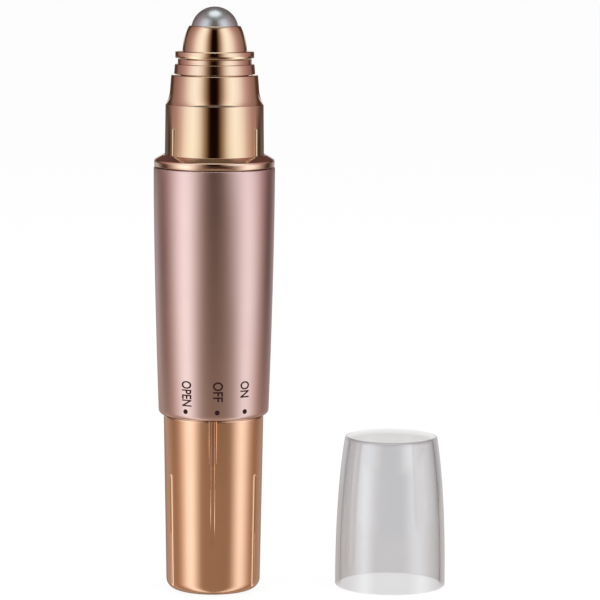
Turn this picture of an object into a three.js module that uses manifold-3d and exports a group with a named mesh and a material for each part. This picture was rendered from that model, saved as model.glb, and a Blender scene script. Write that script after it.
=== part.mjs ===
// Vibrating eye massager pen: a roller ball tip, a plated head with a small vibration motor,
// a satin grip sleeve, and a plated battery cover that turns to switch the pen on.
// Its travel cap is off and stands beside it. Millimetres, +Z up along the pen.
// The origin is the centre of the flat foot of the battery cover; -Y is the front.

import * as THREE from 'three';
import { mergeVertices } from 'three/addons/utils/BufferGeometryUtils.js';
import Module from 'manifold-3d';

const wasm = await Module();
wasm.setup();

// Fits between pieces
const turningGap = 0.25;
const seatGap = 0.1;
const seamGap = 0.2;
const overrun = 1;
const weldDistance = 0.0001;

// Battery, a standard AAA cell
const batteryRadius = 5.25;
const batteryLength = 44.5;
const batteryEdge = 0.4;
const batteryNubRadius = 1.9;
const batteryNubHeight = 1;
const batteryGap = 0.2;

// Battery cover, the plated lower barrel
const coverShown = 38.8;
const coverFootRadius = 10.27;
const coverTopRadius = 10.93;
const coverEdgeRadius = 2.2;
const coverWall = 1.3;
const coverFloor = 1.6;
const spigotLength = 9.15;
const spigotStep = 0.15;
const indexTurn = 0.8;
const indexWidth = 1.65;
const indexDepth = 0.22;
const indexLength = 9.35;
const pointerWidth = 0.85;
const pointerDepth = 0.48;
const pointerLength = 26.2;
const fluteTurn = 57.5;
const fluteWidth = 1.4;
const fluteDepth = 0.42;
const fluteLength = 26.4;
const keyWidth = 3;
const keyHeight = 2;
const keyRoot = 1;
const oRingSection = 0.33;
const oRingBelowRim = 4;

// Cover contact and its spring
const stripWidth = 2.4;
const stripThickness = 0.3;
const stripTop = 34;
const contactDiscRadius = 4.2;
const springWireRadius = 0.28;
const springBaseRadius = 3.3;
const springTopRadius = 2.5;
const springHeight = 4.7;
const springCurlCount = 4.5;
const springStepCount = 10;

// Grip sleeve
const sleeveLength = 53.95;
const sleeveWaistRadius = 12.02;
const sleeveTopRadius = 13.15;
const sleeveSwellPower = 1.65;
const sleeveLipWidth = 0.85;
const sleeveLipHeight = 1.05;
const sleeveTopEdge = 0.25;
const sleeveLedge = 0.35;

// Collar ring
const collarRadius = 13.03;
const collarHeight = 2.45;
const collarEdgeWidth = 1.78;
const collarEdgeHeight = 1.25;
const collarCornerBend = 0.3;
const collarSkirt = 2.6;

// Head shell
const headFootRadius = 10.73;
const headShoulderRadius = 10.6;
const headBarrelHeight = 10.9;
const shoulderHeight = 3.7;
const shoulderBendShares = [0.9, 0.32];
const crownFootRadius = 9.58;
const crownTopRadius = 9.37;
const crownHeight = 2.67;
const headWall = 1.25;
const headSpigot = 6.75;
const gripRibTurns = [-122, -54, 58, 126];
const gripRibWidth = 0.75;
const gripRibHeight = 0.32;
const gripRibLength = 5.9;

// Neck ring
const ringRadius = 8.76;
const ringTopRadius = 8.58;
const ringHeight = 2.13;
const neckRadius = 7.97;
const neckHeight = 1.12;
const neckStep = 0.6;
const neckSkirt = 2.2;

// Ball socket and roller ball
const ballRadius = 5.16;
const ballGap = 0.15;
const rimGrip = 0.05;
const rimAboveCentre = 1.05;
const rimWidth = 0.42;
const rimDepth = 0.45;
const flangeRadius = 8.5;
const flangeHeight = 1.42;
const noseFootRadius = 6.95;
const noseHeight = 5.5;
const noseBulgeShares = [0.14, 0.655];
const socketWall = 0.75;
const socketSkirt = 3.6;
const seatFloor = 0.9;
const seatTopDepth = 2.9;
const shelfWidth = 1.5;
const shelfHeight = 0.8;

// Core housing
const coreWall = 1.2;
const coreJournalRadius = 8;
const coreFlangeHeight = 2.4;
const coreMouthAbove = 0.8;
const coreRibTurns = [-135, -45, 45, 135];
const coreRibWidth = 1.2;
const journalLength = 4.2;
const partitionHeight = 2;
const partitionHoleRadius = 2.6;
const windowHeight = 4.5;

// Switch ring and the fixed contacts
const switchRingHeight = 3.5;
const onTurn = 34.6;
const leafTurn = 180;
const leafWidth = 2;
const leafThickness = 0.3;
const leafLength = 30;
const leafBulgeLength = 6;
const leafFlat = 1;
const postRadius = 0.9;
const postHeight = 3.6;
const plateThickness = 0.3;

// Motor
const motorRadius = 6;
const motorFlat = 5;
const motorLength = 15;
const motorWall = 0.5;
const motorBossRadius = 1.6;
const motorBossHeight = 0.7;
const endCapHeight = 1.2;
const shaftRadius = 0.5;
const shaftGap = 0.06;
const magnetThickness = 1;
const magnetTurn = 100;
const armatureRadius = 3.8;
const armatureLength = 7;
const armatureGap = 0.8;
const poleTurn = 84;
const terminalWidth = 1.5;
const terminalThickness = 0.3;
const terminalLength = 2;
const terminalReach = 3;
const weightRadius = 4.6;
const weightHeight = 4.5;
const weightHub = 1.5;
const weightBelowCrown = 1.5;
const mountSetback = 1.5;
const mountBelowShoulder = 1;

// Motor leads
const leadRadius = 0.45;
const leadSlack = 0.8;
const leadBendShares = [0.33, 0.66];

// Travel cap
const capFootRadius = 12.12;
const capCrownRadius = 10.25;
const capWall = 1;
const capRoof = 1;
const capHeadroom = 0.2;
const capStraight = 2;
const capEdgeRadius = 0.6;
const capBulgeShare = 0.58;
const capStandX = 39.05;
const capStandY = 4.5;

// Levels up the pen
const spigotTopZ = coverShown + spigotLength;
const sleeveTopZ = coverShown + sleeveLength;
const collarZ = sleeveTopZ + seamGap;
const collarTopZ = collarZ + collarHeight;
const shoulderZ = collarTopZ + headBarrelHeight;
const crownFootZ = shoulderZ + shoulderHeight;
const crownTopZ = crownFootZ + crownHeight;
const ringZ = crownTopZ + seamGap;
const neckTopZ = ringZ + ringHeight + neckHeight;
const flangeZ = neckTopZ + seamGap;
const rimZ = flangeZ + flangeHeight + noseHeight;
const ballZ = rimZ - rimAboveCentre;
const ballTopZ = ballZ + ballRadius;
const discZ = coverFloor + seatGap;
const springZ = discZ + stripThickness + seatGap + springWireRadius;
const batteryZ = springZ + springHeight + springWireRadius + seatGap;
const plateZ = batteryZ + batteryLength + seatGap;
const partitionZ = plateZ + plateThickness + seatGap;
const coreMouthZ = batteryZ + coreMouthAbove;
const switchRingZ = spigotTopZ + turningGap;
const coreFlangeZ = switchRingZ + switchRingHeight + turningGap;
const coreFlangeTopZ = coreFlangeZ + coreFlangeHeight;
const stemFloorZ = Math.max(coreFlangeTopZ, partitionZ + partitionHeight);
const leafTopZ = stemFloorZ + windowHeight - seatGap;
const journalZ = spigotTopZ - journalLength;
const headFootZ = sleeveTopZ - headSpigot;
const upperFlangeTopZ = headFootZ - seamGap;
const weightZ = crownTopZ - weightBelowCrown - weightHeight;
const motorTopZ = weightZ - motorBossHeight - turningGap;
const motorZ = motorTopZ - motorLength;
const endCapZ = motorZ - seatGap - endCapHeight;
const mountZ = motorZ + mountSetback;
const mountTopZ = shoulderZ - mountBelowShoulder;
const coreTopZ = mountZ - seamGap;

// Radii across the pen
const sleeveBore = coverTopRadius + spigotStep;
const sleeveWideBore = sleeveBore + sleeveLedge;
const spigotRadius = coverTopRadius - spigotStep;
const coverFootBore = coverFootRadius - coverWall;
const coverTopBore = coverTopRadius - coverWall;
const batteryBore = batteryRadius + batteryGap;
const coreTubeRadius = batteryBore + coreWall;
const coreStemBore = motorRadius + turningGap;
const coreFlangeRadius = sleeveWideBore - seatGap;
const headBore = headFootRadius - headWall;
const ballBore = ballRadius + ballGap;
const socketSkirtRadius = ballBore + socketWall;
const neckSkirtRadius = neckRadius - neckStep;
const stripOuter = Math.sqrt((coverFootBore - turningGap) ** 2 - (stripWidth / 2) ** 2);
const stripInner = stripOuter - stripThickness;
const armatureBore = shaftRadius + shaftGap;

const degrees = Math.PI / 180;
const shellSides = 40;
const innerSides = 32;
const smallSides = 16;

// Finishes
const roseChrome = { color: 0xd3a084, roughness: 0.12, metalness: 1 };
const satinRose = { color: 0xb59a94, roughness: 0.38, metalness: 0.9 };
const ballSteel = { color: 0xc4c4c6, roughness: 0.25, metalness: 1 };
const whiteNylon = { color: 0xe8e6e0, roughness: 0.6, metalness: 0 };
const greyNylon = { color: 0x8d8f92, roughness: 0.6, metalness: 0 };
const blackRubber = { color: 0x1c1c1e, roughness: 0.85, metalness: 0 };
const nickel = { color: 0xc9c6bd, roughness: 0.3, metalness: 1 };
const springBrass = { color: 0xc9a24e, roughness: 0.3, metalness: 1 };
const motorSteel = { color: 0xb4b6b8, roughness: 0.35, metalness: 1 };
const magnetFerrite = { color: 0x3a3a3c, roughness: 0.7, metalness: 0 };
const weightMetal = { color: 0x77746f, roughness: 0.4, metalness: 1 };
const cellLabel = { color: 0x2f4f6f, roughness: 0.4, metalness: 0 };
const redLead = { color: 0xb02020, roughness: 0.6, metalness: 0 };
const blackLead = { color: 0x202022, roughness: 0.6, metalness: 0 };
const clearPlastic = { color: 0xd4d4d8, roughness: 0.1, metalness: 0, transparent: true, opacity: 0.4 };

// Shape helpers

// Corners of a mesh are merged, flat triangles dropped and the faces turned outwards.
function solid(geometry) {
  const plain = geometry.clone();
  plain.deleteAttribute('normal');
  plain.deleteAttribute('uv');
  const merged = mergeVertices(plain, weldDistance);
  const places = merged.attributes.position;
  const corners = merged.index.array;
  const a = new THREE.Vector3();
  const b = new THREE.Vector3();
  const c = new THREE.Vector3();
  const kept = [];
  let volume = 0;
  for (let i = 0; i < corners.length; i += 3) {
    const [p, q, r] = [corners[i], corners[i + 1], corners[i + 2]];
    if (p === q || q === r || r === p) {
      continue;
    }
    kept.push(p, q, r);
    a.fromBufferAttribute(places, p);
    b.fromBufferAttribute(places, q);
    c.fromBufferAttribute(places, r);
    volume += a.dot(b.cross(c));
  }
  if (volume < 0) {
    kept.reverse();
  }
  const mesh = new wasm.Mesh({
    numProp: 3,
    vertProperties: new Float32Array(places.array),
    triVerts: new Uint32Array(kept),
  });
  mesh.merge();
  return new wasm.Manifold(mesh);
}

function turned(outline, sides) {
  const points = outline.map(([radius, height]) => new THREE.Vector2(radius, height));
  return solid(new THREE.LatheGeometry(points, sides).rotateX(Math.PI / 2));
}

function turnedTube(outline, sides) {
  return turned([...outline, outline[0]], sides);
}

function quarterArc(centreRadius, centreZ, width, height, from, to, steps) {
  const points = [];
  for (let i = 0; i <= steps; i += 1) {
    const angle = (from + ((to - from) * i) / steps) * degrees;
    points.push([centreRadius + width * Math.cos(angle), centreZ + height * Math.sin(angle)]);
  }
  return points;
}

function bend(start, middle, end, steps) {
  const ends = [start, middle, end].map(([radius, height]) => new THREE.Vector2(radius, height));
  return new THREE.QuadraticBezierCurve(...ends).getPoints(steps).map((point) => [point.x, point.y]);
}

// A block at the front of the pen: its width, its two radii and its two levels, then its turn.
function frontBlock(width, innerRadius, outerRadius, bottomZ, topZ, turn) {
  const block = new THREE.BoxGeometry(width, outerRadius - innerRadius, topZ - bottomZ);
  block.translate(0, -(innerRadius + outerRadius) / 2, (bottomZ + topZ) / 2);
  return solid(block.rotateZ(turn * degrees));
}

function shapeOf(points) {
  return new THREE.Shape(points.map(([x, y]) => new THREE.Vector2(x, y)));
}

// A side outline of radius and height, at the front of the pen, made as wide as given.
function sideStrip(outline, width, turn) {
  const strip = new THREE.ExtrudeGeometry(shapeOf(outline), { depth: width, bevelEnabled: false });
  strip.translate(0, 0, -width / 2);
  const sideways = new THREE.Matrix4().makeBasis(
    new THREE.Vector3(0, -1, 0),
    new THREE.Vector3(0, 0, 1),
    new THREE.Vector3(-1, 0, 0),
  );
  return solid(strip.applyMatrix4(sideways).rotateZ(turn * degrees));
}

function tubeAlong(curve, radius, steps, sides) {
  const section = new THREE.Shape();
  for (let i = 0; i < sides; i += 1) {
    const angle = (i / sides) * 2 * Math.PI;
    const corner = [radius * Math.cos(angle), radius * Math.sin(angle)];
    if (i === 0) {
      section.moveTo(...corner);
    } else {
      section.lineTo(...corner);
    }
  }
  section.closePath();
  return solid(new THREE.ExtrudeGeometry(section, { steps, bevelEnabled: false, extrudePath: curve }));
}

function piece(group, name, body, finish) {
  const { vertProperties, triVerts } = body.getMesh();
  const geometry = new THREE.BufferGeometry();
  geometry.setAttribute('position', new THREE.BufferAttribute(new Float32Array(vertProperties), 3));
  geometry.setIndex(new THREE.BufferAttribute(new Uint32Array(triVerts), 1));
  geometry.computeVertexNormals();
  const mesh = new THREE.Mesh(geometry, new THREE.MeshStandardMaterial(finish));
  mesh.name = name;
  group.add(mesh);
  return mesh;
}

// Grip sleeve: waisted tube, its bore wider above the ledge that carries the core's flange

function gripSleeve() {
  const lip = quarterArc(
    sleeveWaistRadius - sleeveLipWidth, sleeveLipHeight, sleeveLipWidth, sleeveLipHeight, -90, 0, 4,
  );
  const swellStart = sleeveLipHeight;
  const swellEnd = sleeveLength - sleeveTopEdge;
  const swell = [];
  const stations = 8;
  for (let i = 1; i <= stations; i += 1) {
    const share = i / stations;
    const rise = 1 - (1 - share) ** sleeveSwellPower;
    const radius = sleeveWaistRadius + (sleeveTopRadius - sleeveWaistRadius) * rise;
    swell.push([radius, swellStart + (swellEnd - swellStart) * share]);
  }
  const ledge = coreFlangeZ - seatGap - coverShown;
  return turnedTube([
    [sleeveBore, 0],
    ...lip,
    ...swell,
    [sleeveTopRadius - sleeveTopEdge, sleeveLength],
    [sleeveWideBore, sleeveLength],
    [sleeveWideBore, ledge],
    [sleeveBore, ledge],
  ], shellSides);
}

// Collar ring: plated ring on the sleeve's top edge, with a skirt inside the sleeve

function collarRing() {
  const bore = headFootRadius + seatGap;
  const corner = collarHeight - collarEdgeHeight;
  const flat = collarRadius - collarEdgeWidth;
  const share = collarCornerBend / Math.hypot(collarEdgeWidth, collarEdgeHeight);
  const edge = bend(
    [collarRadius, corner - collarCornerBend],
    [collarRadius, corner],
    [collarRadius - collarEdgeWidth * share, corner + collarEdgeHeight * share],
    4,
  );
  return turnedTube([
    [bore, -collarSkirt],
    [sleeveWideBore - seatGap, -collarSkirt],
    [sleeveWideBore - seatGap, 0],
    [collarRadius, 0],
    ...edge,
    [flat, collarHeight],
    [bore, collarHeight],
  ], shellSides);
}

// Head shell: barrel, shoulder and crown, with four small ribs that the cap grips

function headShell() {
  const barrelZ = collarTopZ - headFootZ;
  const shoulder = barrelZ + headBarrelHeight;
  const crownFoot = shoulder + shoulderHeight;
  const crownTop = crownFoot + crownHeight;
  const bent = headShoulderRadius - (headShoulderRadius - crownFootRadius) * shoulderBendShares[0];
  const outside = bend(
    [headShoulderRadius, shoulder],
    [bent, shoulder + shoulderHeight * shoulderBendShares[1]],
    [crownFootRadius, crownFoot],
    5,
  );
  const hole = neckSkirtRadius + seatGap;
  const shell = turnedTube([
    [headBore, 0],
    [headFootRadius, 0],
    [headFootRadius, barrelZ],
    ...outside,
    [crownTopRadius, crownTop],
    [hole, crownTop],
    [hole, crownTop - headWall],
    [crownTopRadius - headWall, crownTop - headWall],
    [crownFootRadius - headWall, crownFoot - headWall / 2],
    [headShoulderRadius - headWall, shoulder - headWall / 2],
  ], shellSides);
  const ribFoot = barrelZ + seamGap;
  const half = gripRibWidth / 2;
  const outline = [[half, 0], [half, gripRibLength - half]];
  for (let i = 1; i < 4; i += 1) {
    const angle = (i / 4) * Math.PI;
    outline.push([half * Math.cos(angle), gripRibLength - half + half * Math.sin(angle)]);
  }
  outline.push([-half, gripRibLength - half], [-half, 0]);
  const upright = new THREE.Matrix4().makeBasis(
    new THREE.Vector3(1, 0, 0),
    new THREE.Vector3(0, 0, 1),
    new THREE.Vector3(0, -1, 0),
  );
  let ribbed = shell;
  for (const turn of gripRibTurns) {
    const depth = headWall / 2 + gripRibHeight;
    const rib = new THREE.ExtrudeGeometry(shapeOf(outline), { depth, bevelEnabled: false });
    rib.applyMatrix4(upright).translate(0, -(headFootRadius - headWall / 2), ribFoot);
    ribbed = ribbed.add(solid(rib.rotateZ(turn * degrees)));
  }
  return ribbed;
}

// Neck ring: the ring and waist under the socket's flange, with a skirt in the crown's hole

function neckRing() {
  const bore = socketSkirtRadius + seatGap;
  return turnedTube([
    [bore, -seamGap - neckSkirt],
    [neckSkirtRadius, -seamGap - neckSkirt],
    [neckSkirtRadius, 0],
    [ringRadius, 0],
    [ringTopRadius, ringHeight],
    [neckRadius, ringHeight],
    [neckRadius, ringHeight + neckHeight],
    [bore, ringHeight + neckHeight],
  ], shellSides);
}

// Ball socket: flange and domed nose, whose rim is a hair narrower than the ball it holds

function ballSocket() {
  const rimRadius = ballRadius - rimGrip + rimWidth;
  const noseZ = flangeHeight;
  const rim = noseZ + noseHeight;
  const bulge = noseFootRadius - (noseFootRadius - rimRadius) * noseBulgeShares[0];
  const dome = bend(
    [noseFootRadius, noseZ],
    [bulge, noseZ + noseHeight * noseBulgeShares[1]],
    [rimRadius, rim],
    6,
  );
  const shelfTop = ballZ - ballBore - seatFloor - seatGap - flangeZ;
  return turnedTube([
    [ballBore, -socketSkirt],
    [socketSkirtRadius, -socketSkirt],
    [socketSkirtRadius, 0],
    [flangeRadius, 0],
    [flangeRadius, flangeHeight],
    ...dome,
    [ballRadius - rimGrip, rim],
    [ballBore, rim - rimDepth],
    [ballBore, shelfTop],
    [ballBore - shelfWidth, shelfTop],
    [ballBore - shelfWidth, shelfTop - shelfHeight],
    [ballBore, shelfTop - shelfHeight],
  ], shellSides);
}

// Ball seat: a cup that the ball rolls in

function ballSeat() {
  const outer = ballBore - seatGap;
  const reach = -Math.asin(seatTopDepth / ballBore) / degrees;
  const hollow = quarterArc(0, 0, ballBore, ballBore, reach, -90, 5);
  return turned([
    [0, -ballBore - seatFloor],
    [outer, -ballBore - seatFloor],
    [outer, -seatTopDepth],
    ...hollow.slice(0, -1),
    [0, -ballBore],
  ], innerSides);
}

// Core housing: battery tube below, journal and flange for the switch ring, stem for the leads,
// and a spigot in the head that carries the motor's mount

function coreHousing() {
  const tube = turnedTube([
    [batteryBore, coreMouthZ],
    [coreTubeRadius, coreMouthZ],
    [coreTubeRadius, journalZ],
    [coreJournalRadius, journalZ],
    [coreJournalRadius, coreFlangeZ],
    [coreFlangeRadius, coreFlangeZ],
    [coreFlangeRadius, coreFlangeTopZ],
    [coreJournalRadius, coreFlangeTopZ],
    [coreJournalRadius, upperFlangeTopZ - coreFlangeHeight],
    [coreFlangeRadius, upperFlangeTopZ - coreFlangeHeight],
    [coreFlangeRadius, upperFlangeTopZ],
    [headBore - seatGap, upperFlangeTopZ],
    [headBore - seatGap, coreTopZ],
    [coreStemBore, coreTopZ],
    [coreStemBore, partitionZ + partitionHeight],
    [partitionHoleRadius, partitionZ + partitionHeight],
    [partitionHoleRadius, partitionZ],
    [batteryBore, partitionZ],
  ], innerSides);
  let housing = tube;
  for (const turn of coreRibTurns) {
    const ribFoot = coreMouthZ + overrun;
    const ribTop = journalZ + overrun;
    const ribInner = batteryBore + coreWall / 2;
    const ribOuter = stripInner - turningGap;
    housing = housing.add(frontBlock(coreRibWidth, ribInner, ribOuter, ribFoot, ribTop, turn));
  }
  const slotWidth = leafWidth + 2 * turningGap;
  const slotTop = leafTopZ + seatGap;
  const slot = frontBlock(
    slotWidth, coreTubeRadius, coreFlangeRadius + overrun, journalZ - overrun, slotTop, leafTurn,
  );
  const window = frontBlock(
    slotWidth, coreStemBore - overrun, coreJournalRadius + overrun, stemFloorZ, slotTop, leafTurn,
  );
  return housing.subtract(slot).subtract(window);
}

// Battery cover: closed barrel with an index groove, two flutes and a spigot with two keys

function batteryCover() {
  const taper = (coverTopRadius - coverFootRadius) / (coverShown - coverEdgeRadius);
  const foot = quarterArc(
    coverFootRadius - coverEdgeRadius, coverEdgeRadius, coverEdgeRadius, coverEdgeRadius, -90, 0, 5,
  );
  const grooveZ = spigotTopZ - oRingBelowRim;
  const grooveHalf = oRingSection + seatGap;
  const grooveFloor = sleeveBore - 2 * seatGap - 2 * oRingSection;
  const barrel = turned([
    [0, 0],
    ...foot,
    [coverTopRadius, coverShown - seamGap],
    [spigotRadius, coverShown],
    [spigotRadius, grooveZ - grooveHalf],
    [grooveFloor, grooveZ - grooveHalf],
    [grooveFloor, grooveZ + grooveHalf],
    [spigotRadius, grooveZ + grooveHalf],
    [spigotRadius, spigotTopZ],
    [coverTopBore, spigotTopZ],
    [coverTopBore, coverShown],
    [coverFootBore, coverFloor + coverEdgeRadius],
    [coverFootBore - coverFloor, coverFloor],
    [0, coverFloor],
  ], shellSides);
  let cover = barrel;
  const indexTop = coverShown + overrun;
  const indexFoot = coverShown - indexLength;
  const indexFloor = coverTopRadius - taper * indexLength - indexDepth;
  const pointerFloor = coverTopRadius - pointerDepth;
  const pointerFoot = coverShown - pointerLength;
  const rimRadius = coverTopRadius + overrun;
  cover = cover.subtract(frontBlock(indexWidth, indexFloor, rimRadius, indexFoot, indexTop, 0));
  cover = cover.subtract(frontBlock(pointerWidth, pointerFloor, rimRadius, pointerFoot, indexTop, 0));
  const cutterRadius = ((fluteWidth / 2) ** 2 + fluteDepth ** 2) / (2 * fluteDepth);
  const lean = Math.atan(taper);
  for (const side of [-1, 1]) {
    const cutter = new THREE.CapsuleGeometry(cutterRadius, fluteLength, 3, 10).rotateX(Math.PI / 2);
    cutter.translate(0, 0, fluteLength / 2 - cutterRadius);
    cutter.rotateX(lean).translate(0, -(coverFootRadius - fluteDepth + cutterRadius), 0);
    cover = cover.subtract(solid(cutter.rotateZ(side * fluteTurn * degrees)));
  }
  const keyOuter = Math.sqrt(spigotRadius ** 2 - (keyWidth / 2) ** 2);
  for (const turn of [-90, 90]) {
    const keyFoot = spigotTopZ - keyRoot;
    const keyTop = spigotTopZ + keyHeight;
    cover = cover.add(frontBlock(keyWidth, coverTopBore + seatGap, keyOuter, keyFoot, keyTop, turn));
  }
  return cover;
}

function coverORing() {
  const middle = sleeveBore - seatGap - oRingSection;
  const ring = new THREE.TorusGeometry(middle, oRingSection, 6, shellSides);
  return solid(ring.translate(0, 0, spigotTopZ - oRingBelowRim));
}

// Cover contact: a disc under the spring and a strip up the cover's wall

function coverContact(turn) {
  const discTop = discZ + stripThickness;
  const disc = round(contactDiscRadius, discZ, discTop, innerSides);
  const strip = sideStrip([
    [contactDiscRadius / 2, discZ],
    [stripOuter - coverFloor, discZ],
    [stripOuter, discZ + coverEdgeRadius],
    [stripOuter, stripTop],
    [stripInner, stripTop],
    [stripInner, discZ + coverEdgeRadius + stripThickness / 2],
    [stripOuter - coverFloor - stripThickness / 2, discTop],
    [contactDiscRadius / 2, discTop],
  ], stripWidth, turn);
  return disc.add(strip);
}

class SpringCurve extends THREE.Curve {
  getPoint(share, target = new THREE.Vector3()) {
    const angle = share * springCurlCount * 2 * Math.PI;
    const radius = springBaseRadius + (springTopRadius - springBaseRadius) * share;
    return target.set(radius * Math.cos(angle), radius * Math.sin(angle), springHeight * share);
  }
}

// The least gap between neighbouring curls of the spring, measured on points a curl apart.
function leastGap(curve, curls, wireRadius) {
  const samples = 40;
  let least = Infinity;
  for (let i = 0; i <= samples * (curls - 1); i += 1) {
    const here = curve.getPoint(i / (samples * curls));
    for (let j = i + samples / 2; j <= samples * curls; j += 1) {
      least = Math.min(least, here.distanceTo(curve.getPoint(j / (samples * curls))));
    }
  }
  return least - 2 * wireRadius;
}

function negativeSpring() {
  const curve = new SpringCurve();
  console.log(`spring gap to itself ${leastGap(curve, springCurlCount, springWireRadius).toFixed(2)} mm`);
  return tubeAlong(curve, springWireRadius, springCurlCount * springStepCount, 6);
}

// Switch ring: turns with the cover, which is keyed into its two notches

function switchRing() {
  const bore = coreJournalRadius + turningGap;
  const rim = sleeveBore - turningGap;
  const section = [[bore, 0], [rim, 0], [rim, switchRingHeight], [bore, switchRingHeight]];
  let ring = turnedTube(section, innerSides);
  const notchTop = keyHeight;
  for (const turn of [-90, 90]) {
    const notch = frontBlock(keyWidth + 2 * seatGap, coverTopBore, rim + overrun, -overrun, notchTop, turn);
    ring = ring.subtract(notch);
  }
  return ring;
}

// Contacts that stay on the core

function switchContact() {
  const inner = coreTubeRadius + seatGap;
  const out = stripInner - seatGap - leafThickness;
  const foot = leafTopZ - leafLength;
  const bulgeFoot = foot + leafFlat;
  const bulgeTop = bulgeFoot + leafBulgeLength;
  const middle = (bulgeFoot + bulgeTop) / 2;
  const line = [
    [inner, foot],
    [inner, bulgeFoot],
    [out, middle - leafFlat / 2],
    [out, middle + leafFlat / 2],
    [inner, bulgeTop],
    [inner, foot + leafLength],
  ];
  const back = line.map(([radius, height]) => [radius + leafThickness, height]).reverse();
  return sideStrip([...line, ...back], leafWidth, leafTurn);
}

function positiveContact() {
  return turned([
    [0, 0],
    [batteryBore - seatGap, 0],
    [batteryBore - seatGap, plateThickness],
    [postRadius, plateThickness],
    [postRadius, plateThickness + postHeight],
    [0, plateThickness + postHeight],
  ], innerSides);
}

function battery() {
  const shoulder = batteryLength - batteryNubHeight;
  return turned([
    [0, 0],
    [batteryRadius - batteryEdge, 0],
    [batteryRadius, batteryEdge],
    [batteryRadius, shoulder - batteryEdge],
    [batteryRadius - batteryEdge, shoulder],
    [batteryNubRadius, shoulder],
    [batteryNubRadius, batteryLength],
    [0, batteryLength],
  ], innerSides);
}

// Motor: round can with two flats, magnets, armature, shaft and the off-centre weight

function flattedRound(radius, flat, sides) {
  const reach = Math.acos(flat / radius);
  const points = [];
  for (const side of [0, 1]) {
    for (let i = 0; i <= sides / 2; i += 1) {
      const from = -Math.PI / 2 + reach;
      const angle = side * Math.PI + from + ((Math.PI - 2 * reach) * i) / (sides / 2);
      points.push([radius * Math.cos(angle), radius * Math.sin(angle)]);
    }
  }
  return points;
}

function extruded(shape, height) {
  return solid(new THREE.ExtrudeGeometry(shape, { depth: height, bevelEnabled: false, curveSegments: 8 }));
}

function round(radius, bottomZ, topZ, sides) {
  return turned([[0, bottomZ], [radius, bottomZ], [radius, topZ], [0, topZ]], sides);
}

function motorCan() {
  const outer = extruded(shapeOf(flattedRound(motorRadius, motorFlat, 24)), motorLength);
  const boss = round(motorBossRadius, motorLength - motorWall, motorLength + motorBossHeight, smallSides);
  const hollowShape = shapeOf(flattedRound(motorRadius - motorWall, motorFlat - motorWall, 24));
  const hollow = extruded(hollowShape, motorLength - motorWall + overrun);
  const hole = round(armatureBore, 0, motorLength + motorBossHeight + overrun, smallSides);
  return outer.add(boss).subtract(hollow.translate([0, 0, -overrun])).subtract(hole);
}

function motorEndCap() {
  const plate = extruded(shapeOf(flattedRound(motorRadius, motorFlat, 24)), endCapHeight);
  return plate.subtract(round(armatureBore, endCapHeight / 2, endCapHeight + overrun, smallSides));
}

function motorMagnet(turn) {
  const outer = motorRadius - motorWall - seatGap;
  const inner = outer - magnetThickness;
  const reach = (magnetTurn / 2) * degrees;
  const shape = new THREE.Shape();
  shape.absarc(0, 0, outer, -reach, reach, false);
  shape.absarc(0, 0, inner, reach, -reach, true);
  shape.closePath();
  const height = armatureLength;
  return extruded(shape, height).rotate([0, 0, turn]);
}

function motorArmature() {
  const yoke = new THREE.Shape();
  const poles = 3;
  const steps = 4;
  const faceHalf = (poleTurn / 2) * degrees;
  const stem = armatureRadius / 3;
  for (let pole = 0; pole < poles; pole += 1) {
    const middle = (pole / poles) * 2 * Math.PI;
    for (let i = 0; i <= steps; i += 1) {
      const angle = middle - faceHalf + (2 * faceHalf * i) / steps;
      const corner = [armatureRadius * Math.cos(angle), armatureRadius * Math.sin(angle)];
      if (pole === 0 && i === 0) {
        yoke.moveTo(...corner);
      } else {
        yoke.lineTo(...corner);
      }
    }
    const between = middle + Math.PI / poles;
    yoke.lineTo(stem * Math.cos(between), stem * Math.sin(between));
  }
  yoke.closePath();
  const hole = round(armatureBore, -overrun, armatureLength + overrun, smallSides);
  return extruded(yoke, armatureLength).subtract(hole);
}

function eccentricWeight() {
  const shape = new THREE.Shape();
  shape.absarc(0, 0, weightRadius, 0, Math.PI, false);
  shape.lineTo(-weightHub, 0);
  shape.absarc(0, 0, weightHub, Math.PI, 2 * Math.PI, false);
  shape.closePath();
  const hole = round(armatureBore, -overrun, weightHeight + overrun, smallSides);
  return extruded(shape, weightHeight).subtract(hole);
}

function motorMount() {
  const rim = new THREE.Shape();
  rim.absarc(0, 0, headShoulderRadius - headWall - seatGap, 0, 2 * Math.PI, false);
  const grip = flattedRound(motorRadius + seatGap, motorFlat + seatGap, 24);
  rim.holes.push(new THREE.Path(grip.map(([x, y]) => new THREE.Vector2(x, y))));
  return solid(new THREE.ExtrudeGeometry(rim, {
    depth: mountTopZ - mountZ, bevelEnabled: false, curveSegments: innerSides,
  }));
}

function terminal(side) {
  const tab = new THREE.BoxGeometry(terminalWidth, terminalThickness, terminalLength);
  return solid(tab.translate(side * terminalReach, 0, -seatGap - terminalLength / 2));
}

// Leads: from the battery post and from the switch leaf up the stem to the motor's terminals

function lead(points) {
  const route = new THREE.CatmullRomCurve3(points.map((point) => new THREE.Vector3(...point)));
  return tubeAlong(route, leadRadius, 24, 8);
}

const leadTopZ = endCapZ - seatGap - terminalLength - seamGap - leadRadius;

function positiveLead() {
  const foot = plateZ + plateThickness + postHeight + seamGap;
  const rise = leadTopZ - foot;
  const drift = terminalReach + leadSlack;
  return lead([
    [0, 0, foot],
    [0, 0, foot + leadRadius * 3],
    [drift / 2, leadSlack, foot + rise * leadBendShares[0]],
    [drift, -leadSlack, foot + rise * leadBendShares[1]],
    [terminalReach, 0, leadTopZ - leadRadius * 4],
    [terminalReach, 0, leadTopZ],
  ]);
}

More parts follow.
